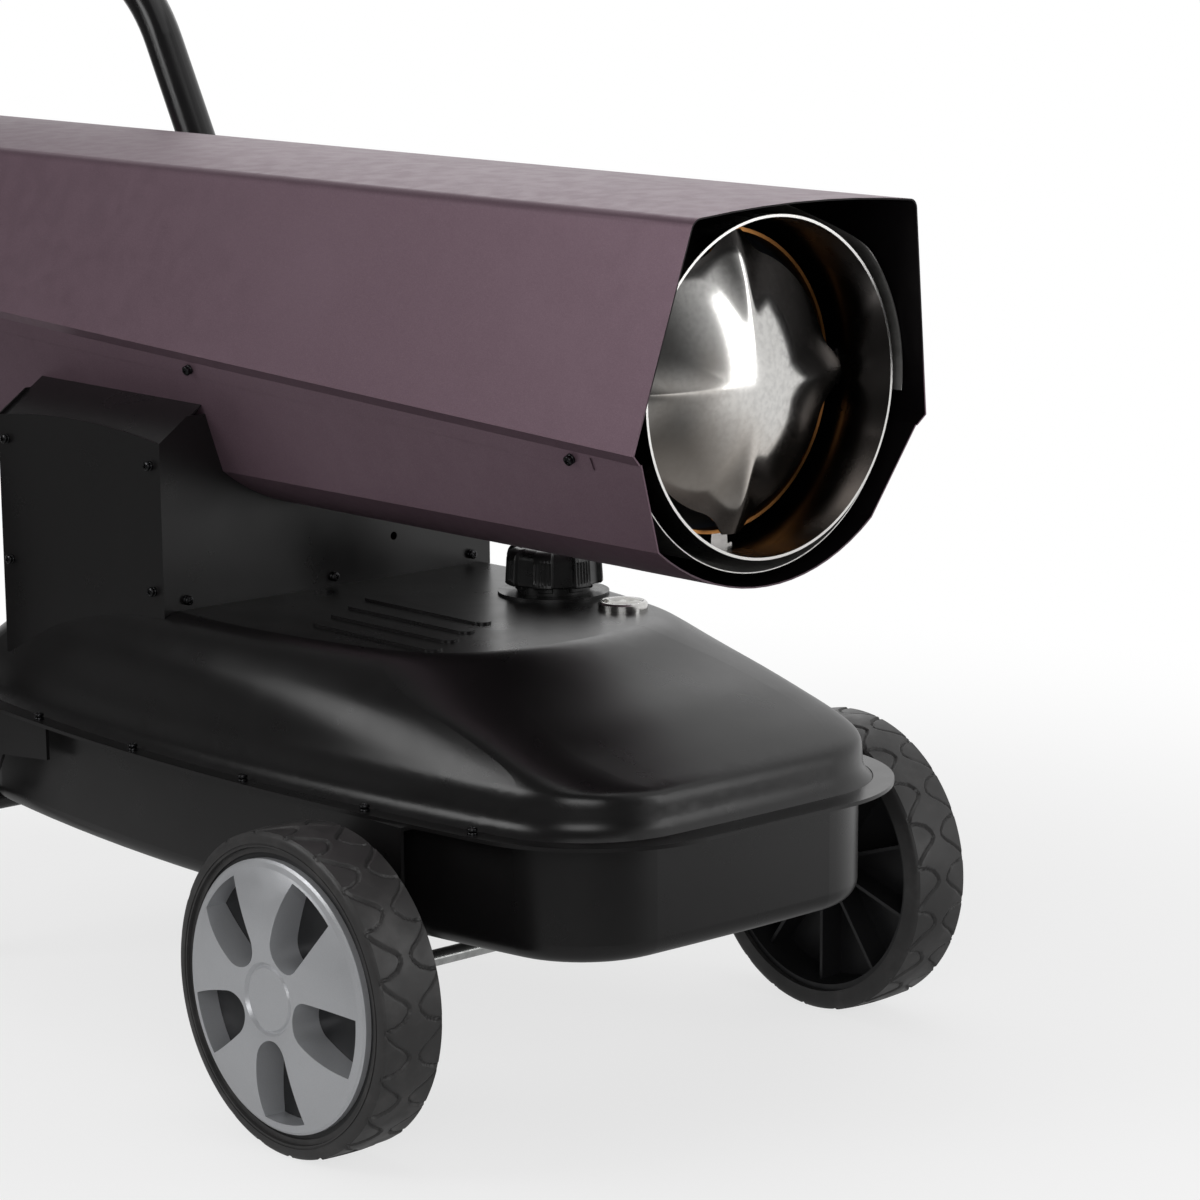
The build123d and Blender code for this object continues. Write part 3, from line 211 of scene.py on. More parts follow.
# ------------------------------------------------------------------ materials
def casing_paint():
    """Dark metallic lacquer outside; the casing's inside faces are near-black painted shade."""
    look = Look("casing_paint", Metallic=0.62, Specular_IOR_Level=0.45, Coat_Weight=0.06, Coat_Roughness=0.45)
    sparkle = look.flakes(2600.0)
    flecked = look.mix(look.span(sparkle, 0.35, 1.0, smooth=False), AUBERGINE, AUBERGINE_LIGHT)
    cloud = look.span(look.noise(5.0, 4.0), 0.35, 0.7, 0.0, 0.30)
    outside = look.mix(cloud, flecked, AUBERGINE_LIGHT)
    # painted shade: faces that look towards the burner's axis, inside the casing, turn near-black
    look.wear("Base Color", look.mix(look.facing_axis(BURNER_Z), outside, PAINTED_INSIDE_SHADE))
    look.wear("Roughness", look.span(look.noise(60.0, 3.0), 0.3, 0.7, 0.40, 0.47))
    look.grain(1400.0, 0.10, 0.00012)
    return look.material


def black_paint(name, color, low, high):
    """Smooth black coating with a little dust in the light."""
    look = Look(name, Specular_IOR_Level=0.5)
    dust = look.span(look.noise(11.0, 5.0, 0.6), 0.5, 0.8, 0.0, 0.12)
    look.wear("Base Color", look.mix(dust, color, shaded(color, 2.2)))
    look.wear("Roughness", look.span(look.noise(20.0, 4.0), 0.3, 0.7, low, high))
    look.grain(1600.0, 0.05, 0.00008)
    return look.material


def sheet_steel(name, tint=0.0, rough=(0.12, 0.17)):
    """Rolled bright steel, browned where it runs hot."""
    look = Look(name, Metallic=1.0)
    rolled = look.noise(22.0, 3.0, 0.5, look.stretched(1, 9, 9))
    color = look.mix(look.span(rolled, 0.35, 0.7, 0.0, 0.35), STEEL, STEEL_DARK)
    if tint:
        spread = look.span(look.noise(7.0, 2.0, 0.5), 0.40, 0.68, 0.0, tint)
        color = look.mix(spread, color, STEEL_WARM)
    look.wear("Base Color", color)
    look.wear("Roughness", look.span(rolled, 0.3, 0.75, rough[0], rough[1]))
    look.wear("Normal", look.bump(look.noise(9.0, 2.0), 0.10, 0.0010))
    return look.material


# the chamber's bands of heat colour: where each one sets in and where it is full, metres from the rim
HEAT_BANDS = [(BLUE, -0.040, -0.016), (BRONZE, -0.014, -0.006), (GOLD, -0.004, 0.001)]


def chamber_steel():
    """Chamber sheet: its rim carries bands of heat colour from gold to blue."""
    look = Look("chamber_steel", Metallic=1.0)
    wander = look.math("MULTIPLY", look.noise(18.0, 3.0), 0.004)
    along = look.math("ADD", look.axis("X"), wander)
    color = STEEL
    for band, start, full in HEAT_BANDS:
        color = look.mix(look.span(along, CHAMBER_RIM_X + start, CHAMBER_RIM_X + full), color, band)
    look.wear("Base Color", color)
    look.wear("Roughness", look.span(look.noise(60.0, 4.0), 0.3, 0.7, 0.34, 0.42))
    return look.material


def tube_steel():
    """Dark heat-toned sheet with a bright cut edge at the mouth."""
    look = Look("tube_steel", Metallic=1.0)
    ahead = look.vector("DOT_PRODUCT", look.normal(), (1, 0, 0))
    bands = look.noise(5.0, 2.0, 0.5, look.stretched(0.4, 1, 1))
    sheet = look.mix(look.span(bands, 0.40, 0.62), TUBE_STEEL, shaded(TUBE_STEEL, 0.55))
    look.wear("Base Color", look.mix(look.span(ahead, 0.7, 0.9), sheet, STEEL))
    look.wear("Roughness", look.span(look.noise(30.0, 3.0), 0.3, 0.7, 0.22, 0.30))
    look.wear("Normal", look.bump(bands, 0.10, 0.0010))
    return look.material


def plain_metal(name, color, rough, grain=80.0):
    look = Look(name, Metallic=1.0)
    mottle = look.noise(grain, 4.0)
    look.wear("Base Color", look.mix(look.span(mottle, 0.35, 0.7), color, shaded(color, 0.78)))
    look.wear("Roughness", look.span(mottle, 0.3, 0.7, rough, rough + 0.12))
    look.wear("Normal", look.bump(mottle, 0.04, 0.0002))
    return look.material


def plastic(name, color, rough):
    look = Look(name, Specular_IOR_Level=0.45)
    shade = look.span(look.noise(25.0, 4.0), 0.3, 0.7)
    look.wear("Base Color", look.mix(shade, color, shaded(color, 1.25)))
    look.wear("Roughness", look.span(look.noise(90.0, 3.0), 0.3, 0.7, rough, rough + 0.10))
    look.grain(1100.0, 0.10, 0.0001)
    return look.material


def silver_paint():
    """Silver lacquer on moulded plastic."""
    look = Look("silver_paint", Metallic=0.55, Specular_IOR_Level=0.5, Coat_Weight=0.25, Coat_Roughness=0.25)
    sparkle = look.span(look.flakes(3200.0), 0.2, 1.0, 0.0, 0.35, smooth=False)
    look.wear("Base Color", look.mix(sparkle, WHEEL_SILVER, shaded(WHEEL_SILVER, 1.3)))
    look.wear("Roughness", look.span(look.noise(50.0, 4.0), 0.3, 0.7, 0.32, 0.42))
    look.wear("Normal", look.bump(look.noise(12.0, 3.0), 0.05, 0.003))
    return look.material


def rubber(name, low=0.34, high=0.52):
    """Moulded rubber, a little shiny, with pale dust in patches."""
    look = Look(name, Specular_IOR_Level=0.5)
    dust = look.span(look.noise(26.0, 5.0, 0.65), 0.46, 0.78, 0.0, 0.6)
    look.wear("Base Color", look.mix(dust, RUBBER_BLACK, RUBBER_DUSTY))
    look.wear("Roughness", look.span(look.noise(45.0, 4.0), 0.3, 0.7, low, high))
    look.grain(700.0, 0.10, 0.00015)
    return look.material


def clear_lens():
    look = Look("clear_lens", (0.96, 0.97, 0.96, 1), Roughness=0.03, IOR=1.49, Transmission_Weight=1.0)
    look.wear("Normal", look.bump(look.noise(60.0, 2.0), 0.03, 0.0005))
    return look.material


def porcelain():
    look = Look("porcelain", Roughness=0.18, Coat_Weight=0.6)
    speck = look.span(look.noise(60.0, 4.0), 0.4, 0.8)
    look.wear("Base Color", look.mix(speck, (0.82, 0.80, 0.74, 1), (0.60, 0.55, 0.46, 1)))
    return look.material


SLOT_LOOKS = {
    "casing_paint": casing_paint(),
    "tank_paint": black_paint("tank_paint", TANK_BLACK, 0.27, 0.32),
    "tube_paint": black_paint("tube_paint", TUBE_BLACK, 0.20, 0.26),
    "polished_steel": sheet_steel("polished_steel"),
    "tinted_steel": sheet_steel("tinted_steel", 0.8, (0.13, 0.17)),
    "shield_steel": sheet_steel("shield_steel", 0.0, (0.40, 0.50)),
    "zinc_steel": plain_metal("zinc_steel", ZINC, 0.16),
    "black_screws": plain_metal("black_screws", (0.05, 0.05, 0.052, 1), 0.24),
    "guard_wire": black_paint("guard_wire", TUBE_BLACK, 0.2, 0.3),
    "motor_metal": plain_metal("motor_metal", (0.36, 0.37, 0.38, 1), 0.42, 300.0),
    "fan_metal": plain_metal("fan_metal", (0.62, 0.63, 0.64, 1), 0.3, 160.0),
    "brass_fittings": plain_metal("brass_fittings", (0.72, 0.52, 0.22, 1), 0.22),
    "line_copper": plain_metal("line_copper", (0.72, 0.38, 0.22, 1), 0.25),
    "rotor_carbon": plastic("rotor_carbon", (0.04, 0.04, 0.042, 1), 0.5),
    "porcelain": porcelain(),
    "gauge_metal": plain_metal("gauge_metal", (0.78, 0.77, 0.75, 1), 0.12),
    "gauge_clear": clear_lens(),
    "float_plastic": plastic("float_plastic", (0.62, 0.08, 0.04, 1), 0.4),
    "black_plastic": plastic("black_plastic", PLASTIC_BLACK, 0.26),
    "reset_red": plastic("reset_red", (0.55, 0.03, 0.025, 1), 0.22),
    "transformer_case": plastic("transformer_case", (0.05, 0.05, 0.055, 1), 0.5),
    "board_green": plastic("board_green", (0.03, 0.16, 0.07, 1), 0.35),
    "foot_rubber": rubber("foot_rubber", 0.5, 0.65),
    "tyre_rubber": rubber("tyre_rubber"),
    "wheel_black": plastic("wheel_black", (0.014, 0.014, 0.015, 1), 0.38),
    "wheel_silver": silver_paint(),
}


def dress(piece, material):
    piece.data.materials.clear()
    piece.data.materials.append(material)


for node, slot in SLOT_OF.items():
    dress(frame["nodes"][node], SLOT_LOOKS[slot])
dress(frame["nodes"]["combustion_chamber"], chamber_steel())
dress(frame["nodes"]["outlet_tube"], tube_steel())


# ------------------------------------------------------------------ mesh helpers
SHARP_ANGLE = math.radians(38)


class Mesh:
    """Gathers points and faces of one piece, placed by a matrix, in metres."""

    def __init__(self):
        self.points, self.faces = [], []

    def turned(self, profile, segments, place, shape=None, closed=False):
        """A profile of (radius, height) turned about the local z axis.

        shape(radius, height, turn), if given, says where a point of the profile goes at that turn.
        """
        rings = []
        for radius, height in profile:
            ring = []
            for i in range(segments if radius else 1):
                turn = math.tau * i / segments
                r, h = shape(radius, height, turn) if shape else (radius, height)
                ring.append(len(self.points))
                self.points.append(place @ Vector((r * math.cos(turn), r * math.sin(turn), h)))
            rings.append(ring)
        for low, high in zip(rings, rings[1:] + rings[:1] if closed else rings[1:]):
            for i in range(segments):
                j = i + 1
                corners = (low[i % len(low)], low[j % len(low)], high[j % len(high)], high[i % len(high)])
                self.faces.append(tuple(dict.fromkeys(corners)))

    def bent(self, outline, start, sweep, segments, place):
        """A closed outline of (radius, height) swept part of the way round, with flat ends."""
        first = len(self.points)
        many = len(outline)
        for i in range(segments + 1):
            turn = start + sweep * i / segments
            for radius, height in outline:
                spot = Vector((radius * math.cos(turn), radius * math.sin(turn), height))
                self.points.append(place @ spot)
        for i in range(segments):
            for j in range(many):
                a, b = first + i * many + j, first + i * many + (j + 1) % many
                self.faces.append((a, b, b + many, a + many))
        last = first + segments * many
        self.faces += [tuple(range(first, first + many)), tuple(range(last, last + many))]

    def block(self, low, high):
        """Thin plate between two corners."""
        first = len(self.points)
        for x in (low[0], high[0]):
            for y in (low[1], high[1]):
                self.points += [Vector((x, y, low[2])), Vector((x, y, high[2]))]
        for face in ((0, 1, 3, 2), (4, 6, 7, 5), (0, 4, 5, 1), (2, 3, 7, 6), (0, 2, 6, 4), (1, 5, 7, 3)):
            self.faces.append(tuple(first + i for i in face))

    def shown(self, name, node, slot=None):
        """Makes the object: it stands for a CAD node, on its body and in its finish."""
        mesh = bpy.data.meshes.new(name)
        mesh.from_pydata(self.points, [], self.faces)
        work = bmesh.new()
        work.from_mesh(mesh)
        bmesh.ops.recalc_face_normals(work, faces=work.faces)
        work.to_mesh(mesh)
        work.free()
        mesh.polygons.foreach_set("use_smooth", [True] * len(mesh.polygons))
        mesh.set_sharp_from_angle(angle=SHARP_ANGLE)
        piece = bpy.data.objects.new(name, mesh)
        bpy.context.collection.objects.link(piece)
        slot = slot or SLOT_OF[node]
        dress(piece, SLOT_LOOKS[slot])
        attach(piece, BODY_OF[node])
        return piece


def facing(spot, way):
    """Matrix that puts local z along way at a spot."""
    return Matrix.Translation(spot) @ Vector(way).to_track_quat("Z", "Y").to_matrix().to_4x4()


def smoothstep(low, high, value):
    share = min(1.0, max(0.0, (value - low) / (high - low)))
    return share * share * (3 - 2 * share)


def span_of(node):
    low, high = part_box(node)
    return low, high, (low + high) / 2


# ------------------------------------------------------------------ tyres
TREAD_PERIODS = 21
TREAD_STEPS = 32
TREAD_ROW = 0.75 * MM
GROOVE_HALF = 1.1 * MM
GROOVE_EDGE = 0.6 * MM
GROOVE_DEPTH = 1.9 * MM
SHOULDER_DROP = 0.8 * MM
SHOULDER_INSET = 1.5 * MM
STEP_EDGE = 0.4 * MM
CROWN = 0.7 * MM
SHOULDER_OUT, SHOULDER_IN = 7.6 * MM, 2.6 * MM
SHOULDER_BENDS = (15, 30, 45, 60, 75)
BORE_DEPTH = 17 * MM
WALL_DEPTH = 9 * MM
# the sidewall's rings: millimetres out from the bore, millimetres sunk in
SIDE_RINGS = [(7.2, 0), (7.0, 0.7), (6.0, 0.7), (5.8, 0), (4.6, 0), (4.0, 2.5), (0, 2.5)]
# the groove's line over one period: share of the period, millimetres in from the shoulder
GROOVE = [(0, 0), (0.03, 8), (0.12, 16), (0.27, 21), (0.38, 22), (0.50, 18), (0.65, 10), (0.80, 4), (0.92, 1),
          (1, 0)]


def near_groove(along, inward, period):
    """Distance to the groove's line, and how far in it lies at this place; along is in 0..period."""
    best = 1.0
    for (a, u), (b, v) in zip(GROOVE, GROOVE[1:]):
        for lap in (-period, 0.0, period):
            start = Vector((a * period + lap, u * MM))
            run = Vector((b * period + lap, v * MM)) - start
            here = Vector((along, inward)) - start
            share = min(1.0, max(0.0, here.dot(run) / run.length_squared))
            best = min(best, (here - run * share).length)
        if a * period <= along <= b * period:
            line = (u + (v - u) * (along / period - a) / (b - a)) * MM
    return best, line


def tyre(node, side):
    """Tyre with a wavy tread groove on each shoulder and rings on its outer sidewall."""
    low, high, middle = span_of(node)
    outer_r = (high.z - low.z) / 2
    half = (high.y - low.y) / 2
    bore = outer_r - BORE_DEPTH
    wall = outer_r - WALL_DEPTH
    period = math.tau * outer_r / TREAD_PERIODS
    side_wall = [(wall, half)] + [(bore + out * MM, half - sunk * MM) for out, sunk in SIDE_RINGS]
    shoulder = []
    for bend in map(math.radians, SHOULDER_BENDS):
        shoulder.append((wall + SHOULDER_OUT * math.sin(bend), half - SHOULDER_IN * (1 - math.cos(bend))))
    crown_edge = half - SHOULDER_IN
    rows = round(2 * crown_edge / TREAD_ROW)
    tread = []
    for i in range(rows + 1):
        across = crown_edge * (1 - 2 * i / rows)
        tread.append((outer_r - CROWN * (across / crown_edge) ** 2, across))
    mirrored = [(r, -h) for r, h in reversed(shoulder)]
    plain_side = [(wall, -half), (bore, -half)]
    profile = list(reversed(side_wall)) + shoulder + tread + mirrored + plain_side
    depth = {}
    for _, across in shoulder + tread + mirrored:
        for step in range(TREAD_STEPS):
            inward = half - SHOULDER_INSET - abs(across)
            away, line = near_groove(period * step / TREAD_STEPS, inward, period)
            cut = GROOVE_DEPTH * (1 - smoothstep(GROOVE_HALF - GROOVE_EDGE, GROOVE_HALF + GROOVE_EDGE, away))
            step_down = SHOULDER_DROP * (1 - smoothstep(-STEP_EDGE, STEP_EDGE, inward - line))
            depth[across, step] = max(cut, step_down) if inward > 0 else SHOULDER_DROP

    segments = TREAD_PERIODS * TREAD_STEPS

    def shape(radius, height, turn):
        step = round(turn / math.tau * segments) % TREAD_STEPS
        return radius - (depth.get((height, step), 0.0) if radius > wall + MM else 0.0), height

    rubber_mesh = Mesh()
    place = facing((middle.x, middle.y, middle.z), (0, side, 0))
    rubber_mesh.turned(profile, segments, place, shape, closed=True)
    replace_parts(rubber_mesh.shown(node + "_tread", node), node)


tyre("tyre_near", -1)
tyre("tyre_far", 1)

# ------------------------------------------------------------------ screws
HEAD_R = 4.0 * MM
HEAD_RISE = 2.6 * MM
CROSS_HALF = 0.55 * MM
CROSS_REACH = 2.2 * MM
CROSS_DEPTH = 1.3 * MM
# how far the recess's walls lean in and out of its half width, and in at its ends
LEAN_IN, LEAN_OUT, LEAN_END = 0.1 * MM, 0.15 * MM, 0.3 * MM
HEAD_RINGS = 14
HEAD_SEGMENTS = 48
# the dome: how much of the head it covers, and how far it falls by its edge, as shares
DOME_SHARE, DOME_FALL = 0.94, 0.35
# below the dome: shares of the head's radius and of its rise
HEAD_SIDE = [(0.985, 0.5), (1, 0.3), (1, 0)]
# radians from the recess of one screw to that of the next
TWIST = 0.7
# the least share of a direction along an axis that counts as along it
ALONG = 0.9


def screw_head(radius, height, turn):
    """Domed head with a cross-shaped recess; turn runs round the head."""
    across = abs(radius * math.cos(turn))
    along = abs(radius * math.sin(turn))
    narrow, far = min(across, along), max(across, along)
    inside = 1 - smoothstep(CROSS_HALF - LEAN_IN, CROSS_HALF + LEAN_OUT, narrow)
    inside *= 1 - smoothstep(CROSS_REACH - LEAN_END, CROSS_REACH, far)
    return radius, height - CROSS_DEPTH * inside


def head_profile():
    """From the middle of the head outwards, then down its side to the sheet."""
    profile = [(0, HEAD_RISE)]
    for i in range(1, HEAD_RINGS + 1):
        share = i / HEAD_RINGS
        profile.append((HEAD_R * DOME_SHARE * share, HEAD_RISE * (1 - DOME_FALL * share ** 3)))
    return profile + [(HEAD_R * out, HEAD_RISE * up) for out, up in HEAD_SIDE]


def islands(node):
    """Points of each separate solid in a node's mesh."""
    mesh = frame["nodes"][node].data
    group = list(range(len(mesh.vertices)))

    def root(i):
        while group[i] != i:
            group[i] = group[group[i]]
            i = group[i]
        return i

    for edge in mesh.edges:
        a, b = root(edge.vertices[0]), root(edge.vertices[1])
        group[a] = b
    found = {}
    for vertex in mesh.vertices:
        found.setdefault(root(vertex.index), []).append(vertex.co.copy())
    return list(found.values())


def thin_way(points):
    """The axis along which a flat round solid is thinnest, among a sweep of tilts across the heater."""
    ways = [Vector((1, 0, 0))]
    ways += [Vector((0, math.cos(math.radians(t)), math.sin(math.radians(t)))) for t in range(0, 180)]

    def reach(way):
        spans = [point.dot(way) for point in points]
        return max(spans) - min(spans)

    return min(ways, key=reach)


def screws(node):
    """A cross-recess head in the place of each screw, facing up or away from the middle of the casing."""
    heads = Mesh()
    for number, points in enumerate(islands(node)):
        middle = sum(points, Vector()) / len(points)
        way = thin_way(points)
        outward = middle - Vector((HEART_X, 0, BURNER_Z))
        if abs(way.z) > ALONG:
            outward = Vector((0, 0, 1))
        if abs(way.x) < ALONG:
            outward.x = 0
        if way.dot(outward) < 0:
            way = -way
        spans = [point.dot(way) for point in points]
        base = middle + way * (min(spans) - middle.dot(way))
        twist = Matrix.Rotation(TWIST * number, 4, "Z")
        heads.turned(head_profile(), HEAD_SEGMENTS, facing(base, way) @ twist, screw_head)
    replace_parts(heads.shown(node + "_heads", node), node)


HEART_X = span_of("pedestal_side_near")[2].x
screws("sheet_screws")
screws("tank_screws")

# ------------------------------------------------------------------ fuel cap
CAP_BANDS = 7
FIRST_BAND = math.radians(-55)
BAND_HALF = math.radians(10.6)
SCALLOP_DEPTH = 4.6 * MM
RIBS = 5
RIB_DEPTH = 0.7 * MM
RIBS_LOW, RIBS_HIGH = 8.3 * MM, 25.9 * MM
SCALLOP_EDGE = math.radians(3.2)
SCALLOP_SHALLOW = 0.72
FADE_START, FADE_END = 18 * MM, 30 * MM
CAP_SEGMENTS = 72 * CAP_BANDS
CAP_BORE_R = 31 * MM
CAP_BORE_TOP = 6 * MM
GRIP_FOOT = 5.6
GRIP_DRAFT = 0.06
GRIP_HEIGHTS = (8, 8.6, 12, 16, 20, 24, 25.6, 26.2)
# the foot, from the bore outwards: millimetres in from the cap's widest, millimetres up
CAP_FOOT = [(9, 0), (8.4, 0.6), (8.4, 3.6), (1.2, 4.4), (0, GRIP_FOOT)]
# the top, from the grip inwards: millimetres in from the cap's widest, millimetres below its top
CAP_TOP = [(2.4, 6.0), (4.0, 3.6), (7.5, 1.8), (9.0, 1.4), (11, 1.2), (12, 2.0), (20, 2.2), (30, 2.2)]
CAP_DISH = 2.2 * MM


def cap_shape(radius, height, turn):
    """Flat ribbed bands stand out between wide hollow scallops."""
    period = math.tau / CAP_BANDS
    off = (turn - FIRST_BAND + period / 2) % period - period / 2
    hollow = smoothstep(BAND_HALF, BAND_HALF + SCALLOP_EDGE, abs(off))
    spread = min(1, max(0, (abs(off) - BAND_HALF) / (period / 2 - BAND_HALF)))
    deepening = SCALLOP_SHALLOW + (1 - SCALLOP_SHALLOW) * math.sin(math.pi * spread / 2)
    sink = SCALLOP_DEPTH * hollow * deepening
    if hollow == 0 and RIBS_LOW < height < RIBS_HIGH:
        comb = 0.5 - 0.5 * math.cos(math.tau * RIBS * (off + BAND_HALF) / (2 * BAND_HALF))
        sink += RIB_DEPTH * comb
    return radius - sink * smoothstep(FADE_START, FADE_END, radius), height


def fuel_cap():
    low, high, middle = span_of("fuel_cap")
    outer = (high.x - low.x) / 2
    place = Matrix.Translation((middle.x, middle.y, low.z))
    tall = high.z - low.z
    bore = [(0, tall - CAP_BORE_TOP), (CAP_BORE_R, tall - CAP_BORE_TOP), (CAP_BORE_R, 0)]
    foot = [(outer - inward * MM, up * MM) for inward, up in CAP_FOOT]
    grip = [(outer - GRIP_DRAFT * (up - GRIP_FOOT) * MM, up * MM) for up in GRIP_HEIGHTS]
    top = [(outer - inward * MM, tall - down * MM) for inward, down in CAP_TOP]
    cap = Mesh()
    cap.turned(bore + foot + grip + top + [(0, tall - CAP_DISH)], CAP_SEGMENTS, place, cap_shape)
    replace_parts(cap.shown("fuel_cap_ribbed", "fuel_cap"), "fuel_cap")


fuel_cap()

# ------------------------------------------------------------------ dial under the gauge's lens
DIAL_INSET = 2.5 * MM
DIAL_MIDDLE = 0.9 * MM
DIAL_SEGMENTS = 96
# from the raised middle outwards: millimetres in from the dial's edge, millimetres up
DIAL_STEPS = [(7, 0.9), (6, 0.3), (1.2, 0.3), (0.8, 0.8), (0, 0.8), (0, 0)]


def gauge_dial():
    """Pale dial with a raised middle and rim, just under the clear lens."""
    low, high, middle = span_of("gauge_lens")
    outer = (high.x - low.x) / 2 - DIAL_INSET
    profile = [(0, DIAL_MIDDLE)] + [(outer - inward * MM, up * MM) for inward, up in DIAL_STEPS] + [(0, 0)]
    dial = Mesh()
    dial.turned(profile, DIAL_SEGMENTS, Matrix.Translation((middle.x, middle.y, low.z)))
    dial.shown("gauge_dial", "gauge_body", "porcelain")


gauge_dial()

# ------------------------------------------------------------------ flame baffle
DOME_RISE = 38 * MM
RIM_R = 113.5 * MM
STAR_R = 98 * MM
TIP_R, TIP_HALF = 112 * MM, 9 * MM
# a leg's side runs from the corner of its tip towards the middle: so far inward for so far sideways
SIDE_IN, SIDE_OUT = 26.0, 20.7
LEG_ANGLE = math.radians(26)
NOTCH_ROUND = 7 * MM
SEAT_GAP = 0.2 * MM
CREST_START, CREST_END = 46 * MM, 112 * MM
CREST_STEP = 12 * MM
FLANK_SLOPE = 0.50
CREST_ROUND = 5.0 * MM
BLEND = 5.0 * MM
SHEET = 1.3 * MM
STAR_STEPS, STAR_RINGS = 480, 56


def rounded_max(a, b, reach):
    """The larger of two, with the corner between them rounded over a reach."""
    part = max(0.0, 1 - abs(a - b) / reach)
    return max(a, b) + part * part * reach / 4


def star_reach(off):
    """How far out the star goes, at an angle off the middle of a leg."""
    edge = 0
    if off < LEG_ANGLE:
        corner = SIDE_OUT * TIP_R + SIDE_IN * TIP_HALF
        edge = corner / (SIDE_OUT * math.cos(off) + SIDE_IN * math.sin(off))
    reach = rounded_max(STAR_R, min(edge, TIP_R / math.cos(off)), NOTCH_ROUND)
    return min(reach, math.hypot(TIP_R, TIP_HALF))


def baffle_rise(y, z):
    """Height of the pressed sheet: a dome with a fold along each leg that grows towards the tip."""
    rise = DOME_RISE * (1 - (y * y + z * z) / RIM_R ** 2)
    along, across = max(abs(y), abs(z)), min(abs(y), abs(z))
    crest = DOME_RISE * (1 - (along / RIM_R) ** 2)
    crest += CREST_STEP * (along - CREST_START) / (CREST_END - CREST_START)
    crest -= FLANK_SLOPE * (math.hypot(across, CREST_ROUND) - CREST_ROUND)
    return rounded_max(rise, crest, BLEND)


def flame_baffle():
    """The pressed star as a thin sheet: a front face, a back face and the cut edge between them."""
    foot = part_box("flame_baffle")[0].x + SEAT_GAP
    star = Mesh()
    rings = STAR_RINGS + 1
    for side in (0.0, -SHEET):
        for i in range(STAR_STEPS):
            turn = math.tau * i / STAR_STEPS
            off = abs((turn + math.pi / 4) % (math.pi / 2) - math.pi / 4)
            reach = star_reach(off)
            for j in range(rings):
                r = reach * j / STAR_RINGS
                y, z = r * math.cos(turn), r * math.sin(turn)
                star.points.append(Vector((foot + SHEET + side + baffle_rise(y, z), y, BURNER_Z + z)))
    many = STAR_STEPS * rings
    for i in range(STAR_STEPS):
        a, b = i * rings, (i + 1) % STAR_STEPS * rings
        for j in range(STAR_RINGS):
            star.faces.append((a + j, a + j + 1, b + j + 1, b + j))
            star.faces.append((many + a + j, many + b + j, many + b + j + 1, many + a + j + 1))
        star.faces.append((a + STAR_RINGS, many + a + STAR_RINGS, many + b + STAR_RINGS, b + STAR_RINGS))
    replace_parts(star.shown("flame_baffle_pressed", "flame_baffle"), "flame_baffle")


flame_baffle()

# ------------------------------------------------------------------ heat shields
SHIELD_R = 132 * MM
FLARE_R = 136 * MM
FLARE_DEPTH = 18 * MM
FLARE_EDGE = 0.8 * MM
FLARE_BEND = 0.6
BEND_OUT = 0.4 * MM
BEND_SHEET = 0.9 * MM
SHIELD_SHEET = 1.0 * MM
SHIELD_REACH = 3 * MM
SHIELD_SEGMENTS = 128
CUT_FROM = 0.70
WING_LAP = 0.5 * MM
WING_SHORT = 7 * MM
# puts local z along the heater, and local x across it
LENGTHWISE = Matrix(((0, 0, 1, 0), (1, 0, 0, 0), (0, 1, 0, 0), (0, 0, 0, 1)))


def heat_shield(node, start, sweep, wing_reach, cut_back):
    """Bright sheet round the outlet tube; its front edge flares out, and a wing stands out at each end.

    start and sweep are degrees, wing_reach is how far from the middle plane the wings end, and cut_back is
    how much shorter the sheet is at its crown.
    """
    low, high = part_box(node)
    front = high.x + SHIELD_REACH
    bend_x = front - FLARE_BEND * FLARE_DEPTH
    outside = SHIELD_R + SHIELD_SHEET
    outline = [(SHIELD_R, low.x), (SHIELD_R, front - FLARE_DEPTH), (SHIELD_R + BEND_OUT, bend_x),
               (FLARE_R, front), (FLARE_R + FLARE_EDGE, front), (SHIELD_R + BEND_OUT + BEND_SHEET, bend_x),
               (outside, front - FLARE_DEPTH), (outside, low.x)]
    first = math.radians(start)
    shield = Mesh()
    place = Matrix.Translation((0, 0, BURNER_Z)) @ LENGTHWISE
    shield.bent(outline, first, math.radians(sweep), SHIELD_SEGMENTS, place)
    for point in shield.points:
        if point.x > low.x + MM:
            point.x -= cut_back * smoothstep(CUT_FROM, 1.0, (point.z - BURNER_Z) / SHIELD_R)
    lip_z = BURNER_Z + outside * math.sin(first)
    inner = outside * abs(math.cos(first))
    for side in (-1, 1):
        near, far = sorted((side * (inner - WING_LAP), side * wing_reach))
        shield.block((low.x, near, lip_z), (high.x - WING_SHORT, far, lip_z + SHIELD_SHEET))
    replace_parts(shield.shown(node + "_flared", node), node)


heat_shield("upper_heat_shield", -6, 192, 143.5 * MM, 38 * MM)
heat_shield("lower_heat_shield", 206, 128, 124 * MM, 0.0)


# ------------------------------------------------------------------ floor, lights and camera
FLOOR_REACH = 30.0
# the floor's strengths: over which distance from the heater, in metres, each goes from one value to another
SEEN_FADE = (0.5, 1.7, 0.72, 1.0)
MIRRORED_NEAR = (0.6, 1.6, 0.34, 0.12)
# the same along Y, towards the far side
MIRRORED_FAR_SIDE = (-0.2, 1.2, 0.05, 0.85)


